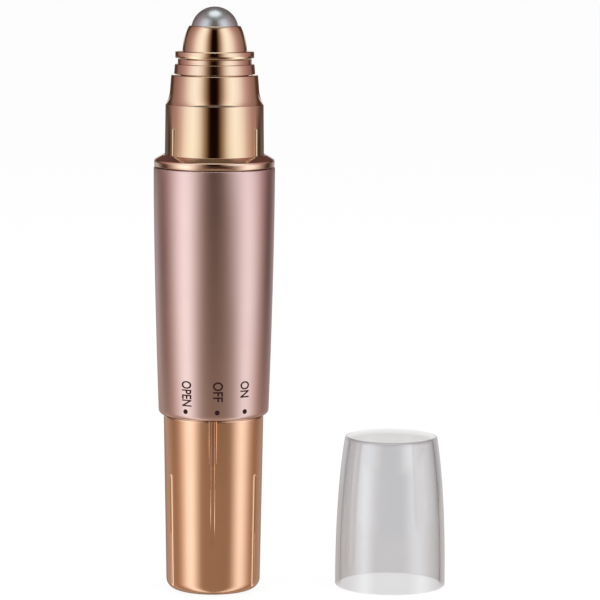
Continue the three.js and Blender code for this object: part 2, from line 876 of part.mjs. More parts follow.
function negativeLead() {
  const away = coreTubeRadius + seatGap - seamGap - leadRadius;
  const foot = stemFloorZ + seamGap + leadRadius;
  const rise = leadTopZ - foot;
  return lead([
    [0, away, foot],
    [0, away, foot + leadRadius * 3],
    [-leadSlack * 2, coreStemBore / 2, foot + rise * leadBendShares[0]],
    [-terminalReach - leadSlack, leadSlack, foot + rise * leadBendShares[1]],
    [-terminalReach, 0, leadTopZ - leadRadius * 4],
    [-terminalReach, 0, leadTopZ],
  ]);
}

// Travel cap: a tapering cup that stands open end down beside the pen

function travelCap() {
  const height = ballTopZ - collarTopZ + capHeadroom + capRoof;
  const edgeZ = height - capEdgeRadius;
  const bulgeZ = capStraight + (edgeZ - capStraight) * capBulgeShare;
  const outside = bend([capFootRadius, capStraight], [capFootRadius, bulgeZ], [capCrownRadius, edgeZ], 6);
  const edge = quarterArc(
    capCrownRadius - capEdgeRadius, edgeZ, capEdgeRadius, capEdgeRadius, 0, 90, 3,
  ).slice(1);
  const innerTop = height - capRoof;
  const inside = bend(
    [capCrownRadius - capWall, innerTop],
    [capFootRadius - capWall, bulgeZ],
    [capFootRadius - capWall, capStraight],
    5,
  );
  return turned([
    [0, innerTop],
    ...inside,
    [capFootRadius - capWall, 0],
    [capFootRadius, 0],
    ...outside,
    ...edge,
    [0, height],
  ], shellSides);
}

// Assembly

const pen = new THREE.Group();

const sleeve = piece(pen, 'grip_sleeve', gripSleeve(), satinRose);
sleeve.position.z = coverShown;
const collar = piece(pen, 'collar_ring', collarRing(), roseChrome);
collar.position.z = collarZ;
const head = piece(pen, 'head_shell', headShell(), roseChrome);
head.position.z = headFootZ;
const neck = piece(pen, 'neck_ring', neckRing(), roseChrome);
neck.position.z = ringZ;
const socket = piece(pen, 'ball_socket', ballSocket(), roseChrome);
socket.position.z = flangeZ;
const seat = piece(pen, 'ball_seat', ballSeat(), whiteNylon);
seat.position.z = ballZ;
const ballShape = solid(new THREE.SphereGeometry(ballRadius, innerSides, 16).rotateX(Math.PI / 2));
const ball = piece(pen, 'roller_ball', ballShape, ballSteel);
ball.position.z = ballZ;

piece(pen, 'core_housing', coreHousing(), whiteNylon);
piece(pen, 'switch_contact', switchContact(), springBrass);
const plate = piece(pen, 'positive_contact', positiveContact(), nickel);
plate.position.z = plateZ;
const cell = piece(pen, 'aaa_battery', battery(), cellLabel);
cell.position.z = batteryZ;
piece(pen, 'motor_lead_positive', positiveLead(), redLead);
piece(pen, 'motor_lead_negative', negativeLead(), blackLead);

const mount = piece(pen, 'motor_mount', motorMount(), blackRubber);
mount.position.z = mountZ;

const motor = new THREE.Group();
motor.position.z = motorZ;
pen.add(motor);
piece(motor, 'motor_can', motorCan(), motorSteel);
const endCap = piece(motor, 'motor_end_cap', motorEndCap(), whiteNylon);
endCap.position.z = endCapZ - motorZ;
for (const [name, side] of [['positive', 1], ['negative', -1]]) {
  const tab = piece(motor, `motor_terminal_${name}`, terminal(side), nickel);
  tab.position.z = endCapZ - motorZ;
}
const armatureZ = motorLength - motorWall - armatureGap - armatureLength;
for (const [name, turn] of [['right', 0], ['left', 180]]) {
  const magnet = piece(motor, `motor_magnet_${name}`, motorMagnet(turn), magnetFerrite);
  magnet.position.z = armatureZ;
}
const shaftFoot = endCapZ - motorZ + endCapHeight / 2 + seatGap;
const shaftTop = weightZ + weightHeight - motorZ;
piece(motor, 'motor_shaft', round(shaftRadius, shaftFoot, shaftTop, smallSides), nickel);
const armature = piece(motor, 'motor_armature', motorArmature(), motorSteel);
armature.position.z = armatureZ;
const weight = piece(motor, 'eccentric_weight', eccentricWeight(), weightMetal);
weight.position.z = weightZ - motorZ;

// The cover group is turned so that its index groove stands just short of the OFF mark
const turningParts = new THREE.Group();
turningParts.rotation.z = indexTurn * degrees;
pen.add(turningParts);
const ring = piece(turningParts, 'switch_ring', switchRing(), greyNylon);
ring.position.z = switchRingZ;
piece(turningParts, 'battery_cover', batteryCover(), roseChrome);
piece(turningParts, 'cover_o_ring', coverORing(), blackRubber);
piece(turningParts, 'cover_contact', coverContact(leafTurn - onTurn - indexTurn), nickel);
const spring = piece(turningParts, 'negative_spring', negativeSpring(), nickel);
spring.position.z = springZ;

const cap = piece(pen, 'travel_cap', travelCap(), clearPlastic);
cap.position.set(capStandX, capStandY, 0);

export default pen;
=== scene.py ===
# Vibrating eye massager pen, with its travel cap off and standing beside it.
# Sizes are millimetres, but metres for the studio; +Z runs up the pen and -Y is its front.

import math

import bmesh
import bpy
from mathutils import Matrix, Vector


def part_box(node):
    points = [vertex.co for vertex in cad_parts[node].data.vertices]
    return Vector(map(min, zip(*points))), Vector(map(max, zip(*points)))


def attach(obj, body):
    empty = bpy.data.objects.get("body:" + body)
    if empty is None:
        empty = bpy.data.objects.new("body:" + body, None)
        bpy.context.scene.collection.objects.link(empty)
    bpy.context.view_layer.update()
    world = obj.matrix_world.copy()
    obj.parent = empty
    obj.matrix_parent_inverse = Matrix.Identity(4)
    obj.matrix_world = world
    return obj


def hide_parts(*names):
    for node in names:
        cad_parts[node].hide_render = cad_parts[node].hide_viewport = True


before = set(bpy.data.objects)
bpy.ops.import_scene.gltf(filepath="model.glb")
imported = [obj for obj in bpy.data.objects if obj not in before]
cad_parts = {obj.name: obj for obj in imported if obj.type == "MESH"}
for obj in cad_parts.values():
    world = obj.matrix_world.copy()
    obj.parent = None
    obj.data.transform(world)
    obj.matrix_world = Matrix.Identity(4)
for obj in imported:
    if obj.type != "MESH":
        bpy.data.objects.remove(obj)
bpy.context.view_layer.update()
mm = 0.001
weldDistance = 0.001


def footOf(node):
    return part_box(node)[0].z / mm


def topOf(node):
    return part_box(node)[1].z / mm


def radiusOf(node):
    low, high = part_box(node)
    return (high.y - low.y) / 2 / mm


def newObject(name, data):
    made = bpy.data.objects.new(name, data)
    bpy.context.scene.collection.objects.link(made)
    return made


print("frame loaded,", len(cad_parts), "nodes")


# Camera, at the photograph's viewing angle
viewSetup = {
    "place": (18.74, -700, 153), "down": 7.265, "roll": 0.38, "lens": 194.4, "sensor": 36,
    "nearest": 0.01, "farthest": 30,
}


def makeCamera(setup):
    lens = bpy.data.cameras.new("photoView")
    lens.lens = setup["lens"]
    lens.sensor_width = setup["sensor"]
    lens.clip_start = setup["nearest"]
    lens.clip_end = setup["farthest"]
    camera = newObject("photoView", lens)
    tilt = Matrix.Rotation(math.radians(90 - setup["down"]), 4, "X")
    roll = Matrix.Rotation(math.radians(setup["roll"]), 4, "Z")
    camera.matrix_world = Matrix.Translation(Vector(setup["place"]) * mm) @ tilt @ roll
    bpy.context.scene.camera = camera


makeCamera(viewSetup)
print("camera made")


# Node helpers
def mathNode(tree, operation, first, second=None, clamp=False):
    node = tree.nodes.new("ShaderNodeMath")
    node.operation = operation
    node.use_clamp = clamp
    for place, value in enumerate((first, second)):
        if value is None:
            continue
        if isinstance(value, (int, float)):
            node.inputs[place].default_value = value
        else:
            tree.links.new(value, node.inputs[place])
    return node.outputs[0]


def product(tree, first, *others):
    for value in others:
        first = mathNode(tree, "MULTIPLY", first, value)
    return first


def noiseNode(tree, vector, scale, detail=3, roughness=0.5, dimensions="3D"):
    node = tree.nodes.new("ShaderNodeTexNoise")
    node.noise_dimensions = dimensions
    node.inputs["Detail"].default_value = detail
    node.inputs["Roughness"].default_value = roughness
    if isinstance(scale, (int, float)):
        node.inputs["Scale"].default_value = scale
    else:
        tree.links.new(scale, node.inputs["Scale"])
    tree.links.new(vector, node.inputs["W" if dimensions == "1D" else "Vector"])
    return node.outputs[0]


def rangeNode(tree, value, low, high, toLow, toHigh, smooth=False):
    node = tree.nodes.new("ShaderNodeMapRange")
    node.interpolation_type = "SMOOTHSTEP" if smooth else "LINEAR"
    tree.links.new(value, node.inputs["Value"])
    settings = {"From Min": low, "From Max": high, "To Min": toLow, "To Max": toHigh}
    for label, setting in settings.items():
        if isinstance(setting, (int, float)):
            node.inputs[label].default_value = setting
        else:
            tree.links.new(setting, node.inputs[label])
    return node.outputs[0]


def objectPlace(tree):
    return tree.nodes.new("ShaderNodeTexCoord").outputs["Object"]


def axesOf(tree, vector):
    split = tree.nodes.new("ShaderNodeSeparateXYZ")
    tree.links.new(vector, split.inputs[0])
    return split.outputs


# Mixes two colours, each a tuple or a socket; 6, 7 and 2 are the node's colour sockets
def mixColour(tree, mask, first, second):
    node = tree.nodes.new("ShaderNodeMix")
    node.data_type = "RGBA"
    tree.links.new(mask, node.inputs[0])
    for socket, colour in ((node.inputs[6], first), (node.inputs[7], second)):
        if isinstance(colour, tuple):
            socket.default_value = (*colour, 1)
        else:
            tree.links.new(colour, socket)
    return node.outputs[2]


# Shared surface effects, one node group each
def newGroup(name, inputs, output):
    group = bpy.data.node_groups.new(name, "ShaderNodeTree")
    for label, value in inputs.items():
        socket = group.interface.new_socket(label, in_out="INPUT", socket_type="NodeSocketFloat")
        socket.default_value = value
    group.interface.new_socket(output, in_out="OUTPUT", socket_type="NodeSocketFloat")
    return group, group.nodes.new("NodeGroupInput"), group.nodes.new("NodeGroupOutput")


# Fine grain: a small even bump
def grainGroup():
    group, start, end = newGroup("fineGrain", {"Scale": 4000}, "Height")
    height = noiseNode(group, objectPlace(group), start.outputs["Scale"], detail=2)
    group.links.new(height, end.inputs["Height"])
    return group


# Turned lines: rings left by the lathe or by the mould's polishing, level with the foot
def turnedLinesGroup():
    group, start, end = newGroup("turnedLines", {"Scale": 5000}, "Height")
    level = axesOf(group, objectPlace(group))["Z"]
    height = noiseNode(group, level, start.outputs["Scale"], detail=4, dimensions="1D")
    group.links.new(height, end.inputs["Height"])
    return group


# Handling: soft smudges and hairline rubs that make the gloss uneven
handling = {
    "smudgeFrom": 0.3, "smudgeTo": 0.7, "smudgeShare": 0.75, "hairFrom": 0.62, "hairTo": 0.75,
    "hairShare": 0.35, "hairScale": 700, "hairStretch": (1, 1, 9), "hairTurn": (0.5, 0.2, 0),
}


def handlingGroup(size):
    group, start, end = newGroup("handling", {"Low": 0.1, "High": 0.2, "Scale": 90}, "Roughness")
    place = objectPlace(group)
    smudge = noiseNode(group, place, start.outputs["Scale"], detail=4, roughness=0.6)
    smudge = rangeNode(group, smudge, size["smudgeFrom"], size["smudgeTo"], 0, size["smudgeShare"])
    stretched = group.nodes.new("ShaderNodeMapping")
    stretched.inputs["Scale"].default_value = size["hairStretch"]
    stretched.inputs["Rotation"].default_value = size["hairTurn"]
    group.links.new(place, stretched.inputs["Vector"])
    hair = noiseNode(group, stretched.outputs[0], size["hairScale"], detail=2, roughness=0.7)
    hair = rangeNode(group, hair, size["hairFrom"], size["hairTo"], 0, size["hairShare"])
    mixed = mathNode(group, "ADD", smudge, hair, clamp=True)
    result = rangeNode(group, mixed, 0, 1, start.outputs["Low"], start.outputs["High"])
    group.links.new(result, end.inputs["Roughness"])
    return group


# Edge rub and painted highlight: a paler band close to a level, broken up by noise; partly wear where hands
# and the cap touch first, partly a painted highlight along the rims and the shoulder
wearAndHighlight = {"breakScale": 900, "breakFrom": 0.4, "breakTo": 0.62}


def wearAndHighlightGroup(size):
    group, start, end = newGroup("wearAndHighlight", {"Level": 0, "Reach": 0.0004, "Amount": 0.5}, "Mask")
    place = objectPlace(group)
    above = mathNode(group, "SUBTRACT", axesOf(group, place)["Z"], start.outputs["Level"])
    near = mathNode(group, "DIVIDE", mathNode(group, "ABSOLUTE", above), start.outputs["Reach"])
    near = rangeNode(group, near, 0, 1, 1, 0, smooth=True)
    broken = noiseNode(group, place, size["breakScale"], detail=5, roughness=0.7)
    broken = rangeNode(group, broken, size["breakFrom"], size["breakTo"], 0, 1)
    group.links.new(product(group, near, broken, start.outputs["Amount"]), end.inputs["Mask"])
    return group


# Dust: a thin film on faces that look up
dustFilm = {"facingFrom": 0.3, "speckScale": 1800, "speckFrom": 0.45, "speckTo": 0.7, "least": 0.2}


def dustGroup(size):
    group, start, end = newGroup("dustFilm", {"Amount": 0.1}, "Mask")
    normal = group.nodes.new("ShaderNodeTexCoord").outputs["Normal"]
    facing = rangeNode(group, axesOf(group, normal)["Z"], size["facingFrom"], 1, 0, 1)
    specks = noiseNode(group, objectPlace(group), size["speckScale"], detail=3)
    specks = rangeNode(group, specks, size["speckFrom"], size["speckTo"], size["least"], 1)
    group.links.new(product(group, facing, specks, start.outputs["Amount"]), end.inputs["Mask"])
    return group


effects = {
    "grain": grainGroup(),
    "turnedLines": turnedLinesGroup(),
    "handling": handlingGroup(handling),
    "wearAndHighlight": wearAndHighlightGroup(wearAndHighlight),
    "dust": dustGroup(dustFilm),
}


def placeEffect(tree, name, values):
    node = tree.nodes.new("ShaderNodeGroup")
    node.node_tree = effects[name]
    for label, value in values.items():
        node.inputs[label].default_value = value
    return node.outputs[0]


def startMaterial(name):
    material = bpy.data.materials.new(name)
    material.use_nodes = True
    return material, material.node_tree, material.node_tree.nodes["Principled BSDF"]


# Where a finish drifts from its colour to its shade
tone = {"low": 0.35, "high": 0.65}


def toneMask(tree, look):
    drift = noiseNode(tree, objectPlace(tree), look["toneScale"], detail=look["toneDetail"])
    return rangeNode(tree, drift, tone["low"], tone["high"], 0, 1)


# What all metals have, and what all plastics and rubbers have, unless a look says otherwise
metalBase = {
    "metallic": 1, "specular": 0.5, "toneScale": 60, "toneDetail": 2, "smudge": 90, "bump": "grain",
    "dust": 0.05, "dustColour": (0.62, 0.58, 0.54), "wearAndHighlightLevels": (), "wearAndHighlightAmount": 0.55,
}
plasticBase = {
    "metallic": 0, "specular": 0.5, "toneScale": 120, "toneDetail": 3, "smudge": 140, "bump": "grain",
    "dust": 0.12, "dustColour": (0.55, 0.53, 0.5), "wearAndHighlightLevels": (), "bumpScale": 2500, "bumpDepth": 0.01,
}


# One recipe for every solid finish: two close colours, rubbed levels that also carry a painted highlight,
# dust, uneven gloss and a bump
def solidMaterial(name, base, own):
    look = {**base, **own}
    material, tree, shader = startMaterial(name)
    colour = mixColour(tree, toneMask(tree, look), look["colour"], look["shade"])
    # Each rubbed level paints a paler band, part wear and part painted highlight
    for level in look["wearAndHighlightLevels"]:
        reach = look["wearAndHighlightReach"] * mm
        rimWearAndHighlight = placeEffect(tree, "wearAndHighlight", {"Level": level * mm, "Reach": reach, "Amount": look["wearAndHighlightAmount"]})
        colour = mixColour(tree, rimWearAndHighlight, colour, look["wearAndHighlightColour"])
    dust = placeEffect(tree, "dust", {"Amount": look["dust"]})
    tree.links.new(mixColour(tree, dust, colour, look["dustColour"]), shader.inputs["Base Color"])
    gloss = placeEffect(tree, "handling", {"Low": look["low"], "High": look["high"], "Scale": look["smudge"]})
    tree.links.new(gloss, shader.inputs["Roughness"])
    shader.inputs["Metallic"].default_value = look["metallic"]
    shader.inputs["Specular IOR Level"].default_value = look["specular"]
    bump = tree.nodes.new("ShaderNodeBump")
    bump.inputs["Strength"].default_value = 1
    bump.inputs["Distance"].default_value = look["bumpDepth"] * mm
    tree.links.new(placeEffect(tree, look["bump"], {"Scale": look["bumpScale"]}), bump.inputs["Height"])
    tree.links.new(bump.outputs[0], shader.inputs["Normal"])
    return material


# In these looks the rubbed levels are paler bands, partly wear and partly a painted highlight at the rims and
# the head's shoulder
headLook = {
    "colour": (0.86, 0.69, 0.49), "shade": (0.845, 0.67, 0.47), "low": 0.05, "high": 0.1, "smudge": 70,
    "bumpScale": 160, "bumpDepth": 0.004,
    "wearAndHighlightLevels": (95.4, 106.3), "wearAndHighlightReach": 0.35, "wearAndHighlightColour": (0.9, 0.79, 0.66),
}
barrelLook = {
    "colour": (0.9, 0.6, 0.43), "shade": (0.885, 0.58, 0.41), "low": 0.15, "high": 0.21, "smudge": 60,
    "bumpScale": 120, "bumpDepth": 0.004,
    "wearAndHighlightLevels": (0.4, 38.6), "wearAndHighlightReach": 0.6, "wearAndHighlightColour": (0.9, 0.72, 0.58),
}
collarLook = {
    "colour": (0.84, 0.64, 0.51), "shade": (0.825, 0.62, 0.49), "low": 0.08, "high": 0.12, "smudge": 70,
    "bumpScale": 160, "bumpDepth": 0.004,
}
ringLook = {
    "colour": (0.84, 0.66, 0.49), "shade": (0.82, 0.64, 0.47), "low": 0.1, "high": 0.16,
    "bump": "turnedLines", "bumpScale": 5200, "bumpDepth": 0.012,
}
satinLook = {
    "colour": (0.8, 0.615, 0.597), "shade": (0.785, 0.6, 0.582), "low": 0.29, "high": 0.34, "smudge": 50,
    "bumpScale": 9000, "bumpDepth": 0.0012,
    "wearAndHighlightLevels": (39, 92.7), "wearAndHighlightReach": 0.5, "wearAndHighlightColour": (0.84, 0.68, 0.63),
}
ballLook = {
    "colour": (0.51, 0.555, 0.567), "shade": (0.49, 0.535, 0.547), "low": 0.28, "high": 0.32, "metallic": 0.9,
    "bumpScale": 3000, "bumpDepth": 0.001, "dust": 0,
}
nickelLook = {
    "colour": (0.62, 0.60, 0.56), "shade": (0.56, 0.54, 0.5), "low": 0.22, "high": 0.38,
    "bumpScale": 2500, "bumpDepth": 0.002,
}
brassLook = {
    "colour": (0.68, 0.47, 0.18), "shade": (0.6, 0.4, 0.14), "low": 0.24, "high": 0.4,
    "bumpScale": 2500, "bumpDepth": 0.002,
}
steelLook = {
    "colour": (0.5, 0.5, 0.51), "shade": (0.43, 0.43, 0.44), "low": 0.28, "high": 0.45,
    "bumpScale": 2000, "bumpDepth": 0.003,
}
weightLook = {
    "colour": (0.24, 0.23, 0.215), "shade": (0.19, 0.18, 0.17), "low": 0.4, "high": 0.6,
    "bumpScale": 1800, "bumpDepth": 0.01,
}
whiteLook = {"colour": (0.78, 0.77, 0.73), "shade": (0.72, 0.71, 0.67), "low": 0.42, "high": 0.6}
greyLook = {"colour": (0.27, 0.275, 0.285), "shade": (0.23, 0.235, 0.245), "low": 0.42, "high": 0.6}
rubberLook = {
    "colour": (0.022, 0.022, 0.024), "shade": (0.034, 0.034, 0.036), "low": 0.6, "high": 0.85,
    "bumpDepth": 0.02,
}
magnetLook = {
    "colour": (0.045, 0.045, 0.05), "shade": (0.03, 0.03, 0.033), "low": 0.6, "high": 0.8,
    "bumpDepth": 0.02,
}
labelLook = {"colour": (0.03, 0.07, 0.14), "shade": (0.026, 0.06, 0.12), "low": 0.25, "high": 0.42}
redLook = {"colour": (0.42, 0.02, 0.018), "shade": (0.36, 0.016, 0.015), "low": 0.4, "high": 0.58}
blackLook = {"colour": (0.018, 0.018, 0.02), "shade": (0.026, 0.026, 0.028), "low": 0.4, "high": 0.58}
inkLook = {
    "colour": (0.02, 0.005, 0.007), "shade": (0.025, 0.007, 0.009), "low": 0.55, "high": 0.7, "dust": 0,
    "specular": 0.15,
}
capLook = {
    "tint": (0.868, 0.872, 0.888), "shade": (0.853, 0.857, 0.873), "low": 0.15, "high": 0.19, "ior": 1.0,
    "coat": 1, "coatRoughness": 0.08, "coatIor": 2.05, "smoke": 110, "smokeColour": (0.3, 0.3, 0.31),
    "toneScale": 50, "toneDetail": 2,
}


# The cap's clear plastic: lightly smoked, with its gloss on the outer side of each face
def clearMaterial(name, look):
    material, tree, shader = startMaterial(name)
    mask = toneMask(tree, look)
    tree.links.new(mixColour(tree, mask, look["tint"], look["shade"]), shader.inputs["Base Color"])
    tree.links.new(rangeNode(tree, mask, 0, 1, look["low"], look["high"]), shader.inputs["Roughness"])
    shader.inputs["Transmission Weight"].default_value = 1
    shader.inputs["IOR"].default_value = look["ior"]
    side = tree.nodes.new("ShaderNodeNewGeometry")
    outside = mathNode(tree, "SUBTRACT", look["coat"], side.outputs["Backfacing"], clamp=True)
    tree.links.new(outside, shader.inputs["Coat Weight"])
    shader.inputs["Coat Roughness"].default_value = look["coatRoughness"]
    shader.inputs["Coat IOR"].default_value = look["coatIor"]
    smoke = tree.nodes.new("ShaderNodeVolumeAbsorption")
    smoke.inputs["Color"].default_value = (*look["smokeColour"], 1)
    smoke.inputs["Density"].default_value = look["smoke"]
    tree.links.new(smoke.outputs[0], tree.nodes["Material Output"].inputs["Volume"])
    return material


finishes = {
    "rose_plate": solidMaterial("roseGoldPlate", metalBase, headLook),
    "collar": solidMaterial("palerRosePlate", metalBase, collarLook),
    "barrel": solidMaterial("copperRosePlate", metalBase, barrelLook),
    "ring": solidMaterial("turnedRosePlate", metalBase, ringLook),
    "satin_rose": solidMaterial("satinRosePaint", metalBase, satinLook),
    "ball_steel": solidMaterial("satinBallSteel", metalBase, ballLook),
    "nickel": solidMaterial("nickelPlate", metalBase, nickelLook),
    "spring_brass": solidMaterial("springBrass", metalBase, brassLook),
    "motor_steel": solidMaterial("motorSteel", metalBase, steelLook),
    "weight_metal": solidMaterial("sinteredWeight", metalBase, weightLook),
    "white_nylon": solidMaterial("whiteNylon", plasticBase, whiteLook),
    "grey_nylon": solidMaterial("greyNylon", plasticBase, greyLook),
    "black_rubber": solidMaterial("blackRubber", plasticBase, rubberLook),
    "magnet": solidMaterial("ferriteMagnet", plasticBase, magnetLook),
    "cell_label": solidMaterial("cellLabel", plasticBase, labelLook),
    "red_lead": solidMaterial("redLead", plasticBase, redLook),
    "black_lead": solidMaterial("blackLead", plasticBase, blackLook),
    "ink": solidMaterial("printedInk", plasticBase, inkLook),
    "clear_plastic": clearMaterial("smokedClearPlastic", capLook),
}
print("materials made,", len(finishes))


# Shape helpers: outlines are lists of (radius, level)
def arc(centreRadius, centreLevel, width, height, fromAngle, toAngle, steps):
    points = []
    for i in range(steps + 1):
        angle = math.radians(fromAngle + (toAngle - fromAngle) * i / steps)
        points.append((centreRadius + width * math.cos(angle), centreLevel + height * math.sin(angle)))
    return points


def bend(start, middle, end, steps):
    points = []
    for i in range(steps + 1):
        share = i / steps
        points.append(tuple(
            a * (1 - share) ** 2 + 2 * b * share * (1 - share) + c * share ** 2
            for a, b, c in zip(start, middle, end)
        ))
    return points


# A point at an angle from the front, in radians
def roundPlace(radius, angle, level):
    return (radius * math.sin(angle), -radius * math.cos(angle), level)


def vertsIn(geom):
    return [part for part in geom if isinstance(part, bmesh.types.BMVert)]


def turnVerts(bm, verts, degrees):
    turned = Matrix.Rotation(math.radians(degrees), 3, "Z")
    bmesh.ops.rotate(bm, cent=(0, 0, 0), matrix=turned, verts=verts)


# Turns an outline round the pen's axis and rounds its sharp rims
def spinOutline(outline, closed, sides, rim=0.12, sharp=28):
    bm = bmesh.new()
    corners = [bm.verts.new((radius, 0, level)) for radius, level in outline]
    lines = [bm.edges.new(pair) for pair in zip(corners, corners[1:])]
    if closed:
        lines.append(bm.edges.new((corners[-1], corners[0])))
    bmesh.ops.spin(
        bm, geom=corners + lines, cent=(0, 0, 0), axis=(0, 0, 1), dvec=(0, 0, 0), angle=2 * math.pi,
        steps=sides, use_merge=True, use_duplicate=False,
    )
    bmesh.ops.remove_doubles(bm, verts=bm.verts, dist=weldDistance)
    bmesh.ops.recalc_face_normals(bm, faces=bm.faces)
    if rim > 0:
        roundRims(bm, rim, sharp)
    return bm


def roundRims(bm, width, sharp):
    rims = []
    for edge in bm.edges:
        level = abs(edge.verts[0].co.z - edge.verts[1].co.z) < weldDistance
        if level and len(edge.link_faces) == 2 and edge.calc_face_angle(0) > math.radians(sharp):
            rims.append(edge)
    bmesh.ops.bevel(
        bm, geom=rims, offset=width, offset_type="OFFSET", segments=3, profile=0.5,
        affect="EDGES", clamp_overlap=True, material=-1,
    )


# A block with rounded edges, turned to its place round the axis
def addBlock(bm, size, centre, turn, rim=0.1):
    made = bmesh.ops.create_cube(bm, size=1)["verts"]
    bmesh.ops.scale(bm, vec=size, verts=made)
    edges = list({edge for vert in made for edge in vert.link_edges})
    bevelled = bmesh.ops.bevel(
        bm, geom=edges, offset=rim, offset_type="OFFSET", segments=2, profile=0.5, affect="EDGES",
        clamp_overlap=True, material=-1,
    )
    shaped = {vert for face in bevelled["faces"] for vert in face.verts}
    shaped = list(shaped | {vert for vert in made if vert.is_valid})
    bmesh.ops.translate(bm, vec=centre, verts=shaped)
    turnVerts(bm, shaped, turn)


# Gives flat faces a thickness along Z
def thicken(bm, depth):
    pushed = bmesh.ops.extrude_face_region(bm, geom=list(bm.faces))["geom"]
    bmesh.ops.translate(bm, vec=(0, 0, depth), verts=vertsIn(pushed))


def meshObject(bm, name):
    mesh = bpy.data.meshes.new(name)
    bm.to_mesh(mesh)
    bm.free()
    return newObject(name, mesh)


# Puts a finished shape in the scene, on its body, standing for its nodes
def finishPiece(
    bm, name, finish, body, replaced=(), smooth=35, place=(0, 0, 0), turn=0, weighted=True,
):
    turnVerts(bm, bm.verts, turn)
    bmesh.ops.translate(bm, vec=place, verts=bm.verts)
    bmesh.ops.scale(bm, vec=(mm, mm, mm), verts=bm.verts)
    piece = meshObject(bm, name)
    piece.data.shade_smooth()
    piece.data.set_sharp_from_angle(angle=math.radians(smooth))
    piece.data.materials.append(finishes[finish])
    if weighted:
        weigh = piece.modifiers.new("evenShading", "WEIGHTED_NORMAL")
        weigh.keep_sharp = True
        weigh.weight = 60
    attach(piece, body)
    if replaced:
        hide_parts(*replaced)
    return piece


# Grip sleeve: waisted, with a rounded lip at its foot
sleeve = {
    "foot": footOf("grip_sleeve"), "length": topOf("grip_sleeve") - footOf("grip_sleeve"),
    "waist": 12.02, "top": radiusOf("grip_sleeve"), "swell": 1.65, "lipWidth": 0.85, "lipHeight": 1.05,
    "topEdge": 0.25, "bore": 11.08, "wideBore": 11.43, "ledge": 51.85, "sides": 192, "rows": 48,
    "lipRows": 14, "topEdgeRows": 5, "rim": 0.08,
}


def sleeveRadius(level):
    start = sleeve["foot"] + sleeve["lipHeight"]
    share = (level - start) / (sleeve["length"] - sleeve["topEdge"] - sleeve["lipHeight"])
    share = min(max(share, 0), 1)
    return sleeve["waist"] + (sleeve["top"] - sleeve["waist"]) * (1 - (1 - share) ** sleeve["swell"])


def makeSleeve(size):
    foot = size["foot"]
    top = foot + size["length"]
    lipWidth = size["lipWidth"]
    start = foot + size["lipHeight"]
    edge = size["topEdge"]
    outline = [(size["bore"], foot)]
    outline += arc(size["waist"] - lipWidth, start, lipWidth, size["lipHeight"], -90, 0, size["lipRows"])
    for i in range(1, size["rows"] + 1):
        level = start + (top - edge - start) * i / size["rows"]
        outline.append((sleeveRadius(level), level))
    outline += arc(size["top"] - edge, top - edge, edge, edge, 0, 90, size["topEdgeRows"])[1:]
    outline += [(size["wideBore"], top), (size["wideBore"], size["ledge"]), (size["bore"], size["ledge"])]
    bm = spinOutline(outline, True, size["sides"], rim=size["rim"], sharp=40)
    finishPiece(bm, "gripSleeve", "satin_rose", "pen", ["grip_sleeve"])


makeSleeve(sleeve)


# Collar ring, on the sleeve's top edge
collar = {
    "foot": footOf("collar_ring") + 2.6, "top": topOf("collar_ring"), "radius": radiusOf("collar_ring"),
    "edgeWidth": 1.78, "edgeHeight": 1.02, "cornerBend": 0.24, "cornerRows": 12,
    "seamWidth": 0.22, "seamDepth": 0.4, "bore": 10.83, "skirt": 2.6, "skirtRadius": 11.33,
    "sides": 192, "rim": 0.08,
}


def makeCollar(size):
    foot = size["foot"]
    top = size["top"]
    radius = size["radius"]
    reach = size["cornerBend"]
    corner = top - size["edgeHeight"]
    share = reach / math.hypot(size["edgeWidth"], size["edgeHeight"])
    slopeStart = (radius - size["edgeWidth"] * share, corner + size["edgeHeight"] * share)
    outline = [
        (size["bore"], foot - size["skirt"]),
        (size["skirtRadius"], foot - size["skirt"]),
        (size["skirtRadius"], foot),
        (radius, foot),
        *bend((radius, corner - reach), (radius, corner), slopeStart, size["cornerRows"]),
        (radius - size["edgeWidth"], top),
        (size["bore"] + size["seamWidth"], top),
        (size["bore"], top - size["seamDepth"]),
    ]
    bm = spinOutline(outline, True, size["sides"], rim=size["rim"], sharp=30)
    finishPiece(bm, "collarRing", "collar", "pen", ["collar_ring"])


makeCollar(collar)


# Head shell, with four small ribs that the cap grips
head = {
    "foot": footOf("head_shell"), "footRadius": 10.73, "collarTop": topOf("collar_ring"),
    "shoulder": topOf("collar_ring") + 10.9, "shoulderRadius": 10.6,
    "crownFoot": topOf("head_shell") - 2.67, "crownFootRadius": 9.58,
    "crownTop": topOf("head_shell"), "crownTopRadius": 9.37,
    "bendInward": 0.9, "bendUpward": 0.32, "bendRows": 20, "hole": 7.47, "wall": 1.25,
    "sides": 192, "rim": 0.14,
}
gripRibs = {
    "turns": (-122, -54, 58, 126), "width": 0.75, "height": 0.32, "length": 5.9,
    "foot": topOf("collar_ring") + 0.2, "root": 0.6, "arcSteps": 10, "tipRows": 5,
}


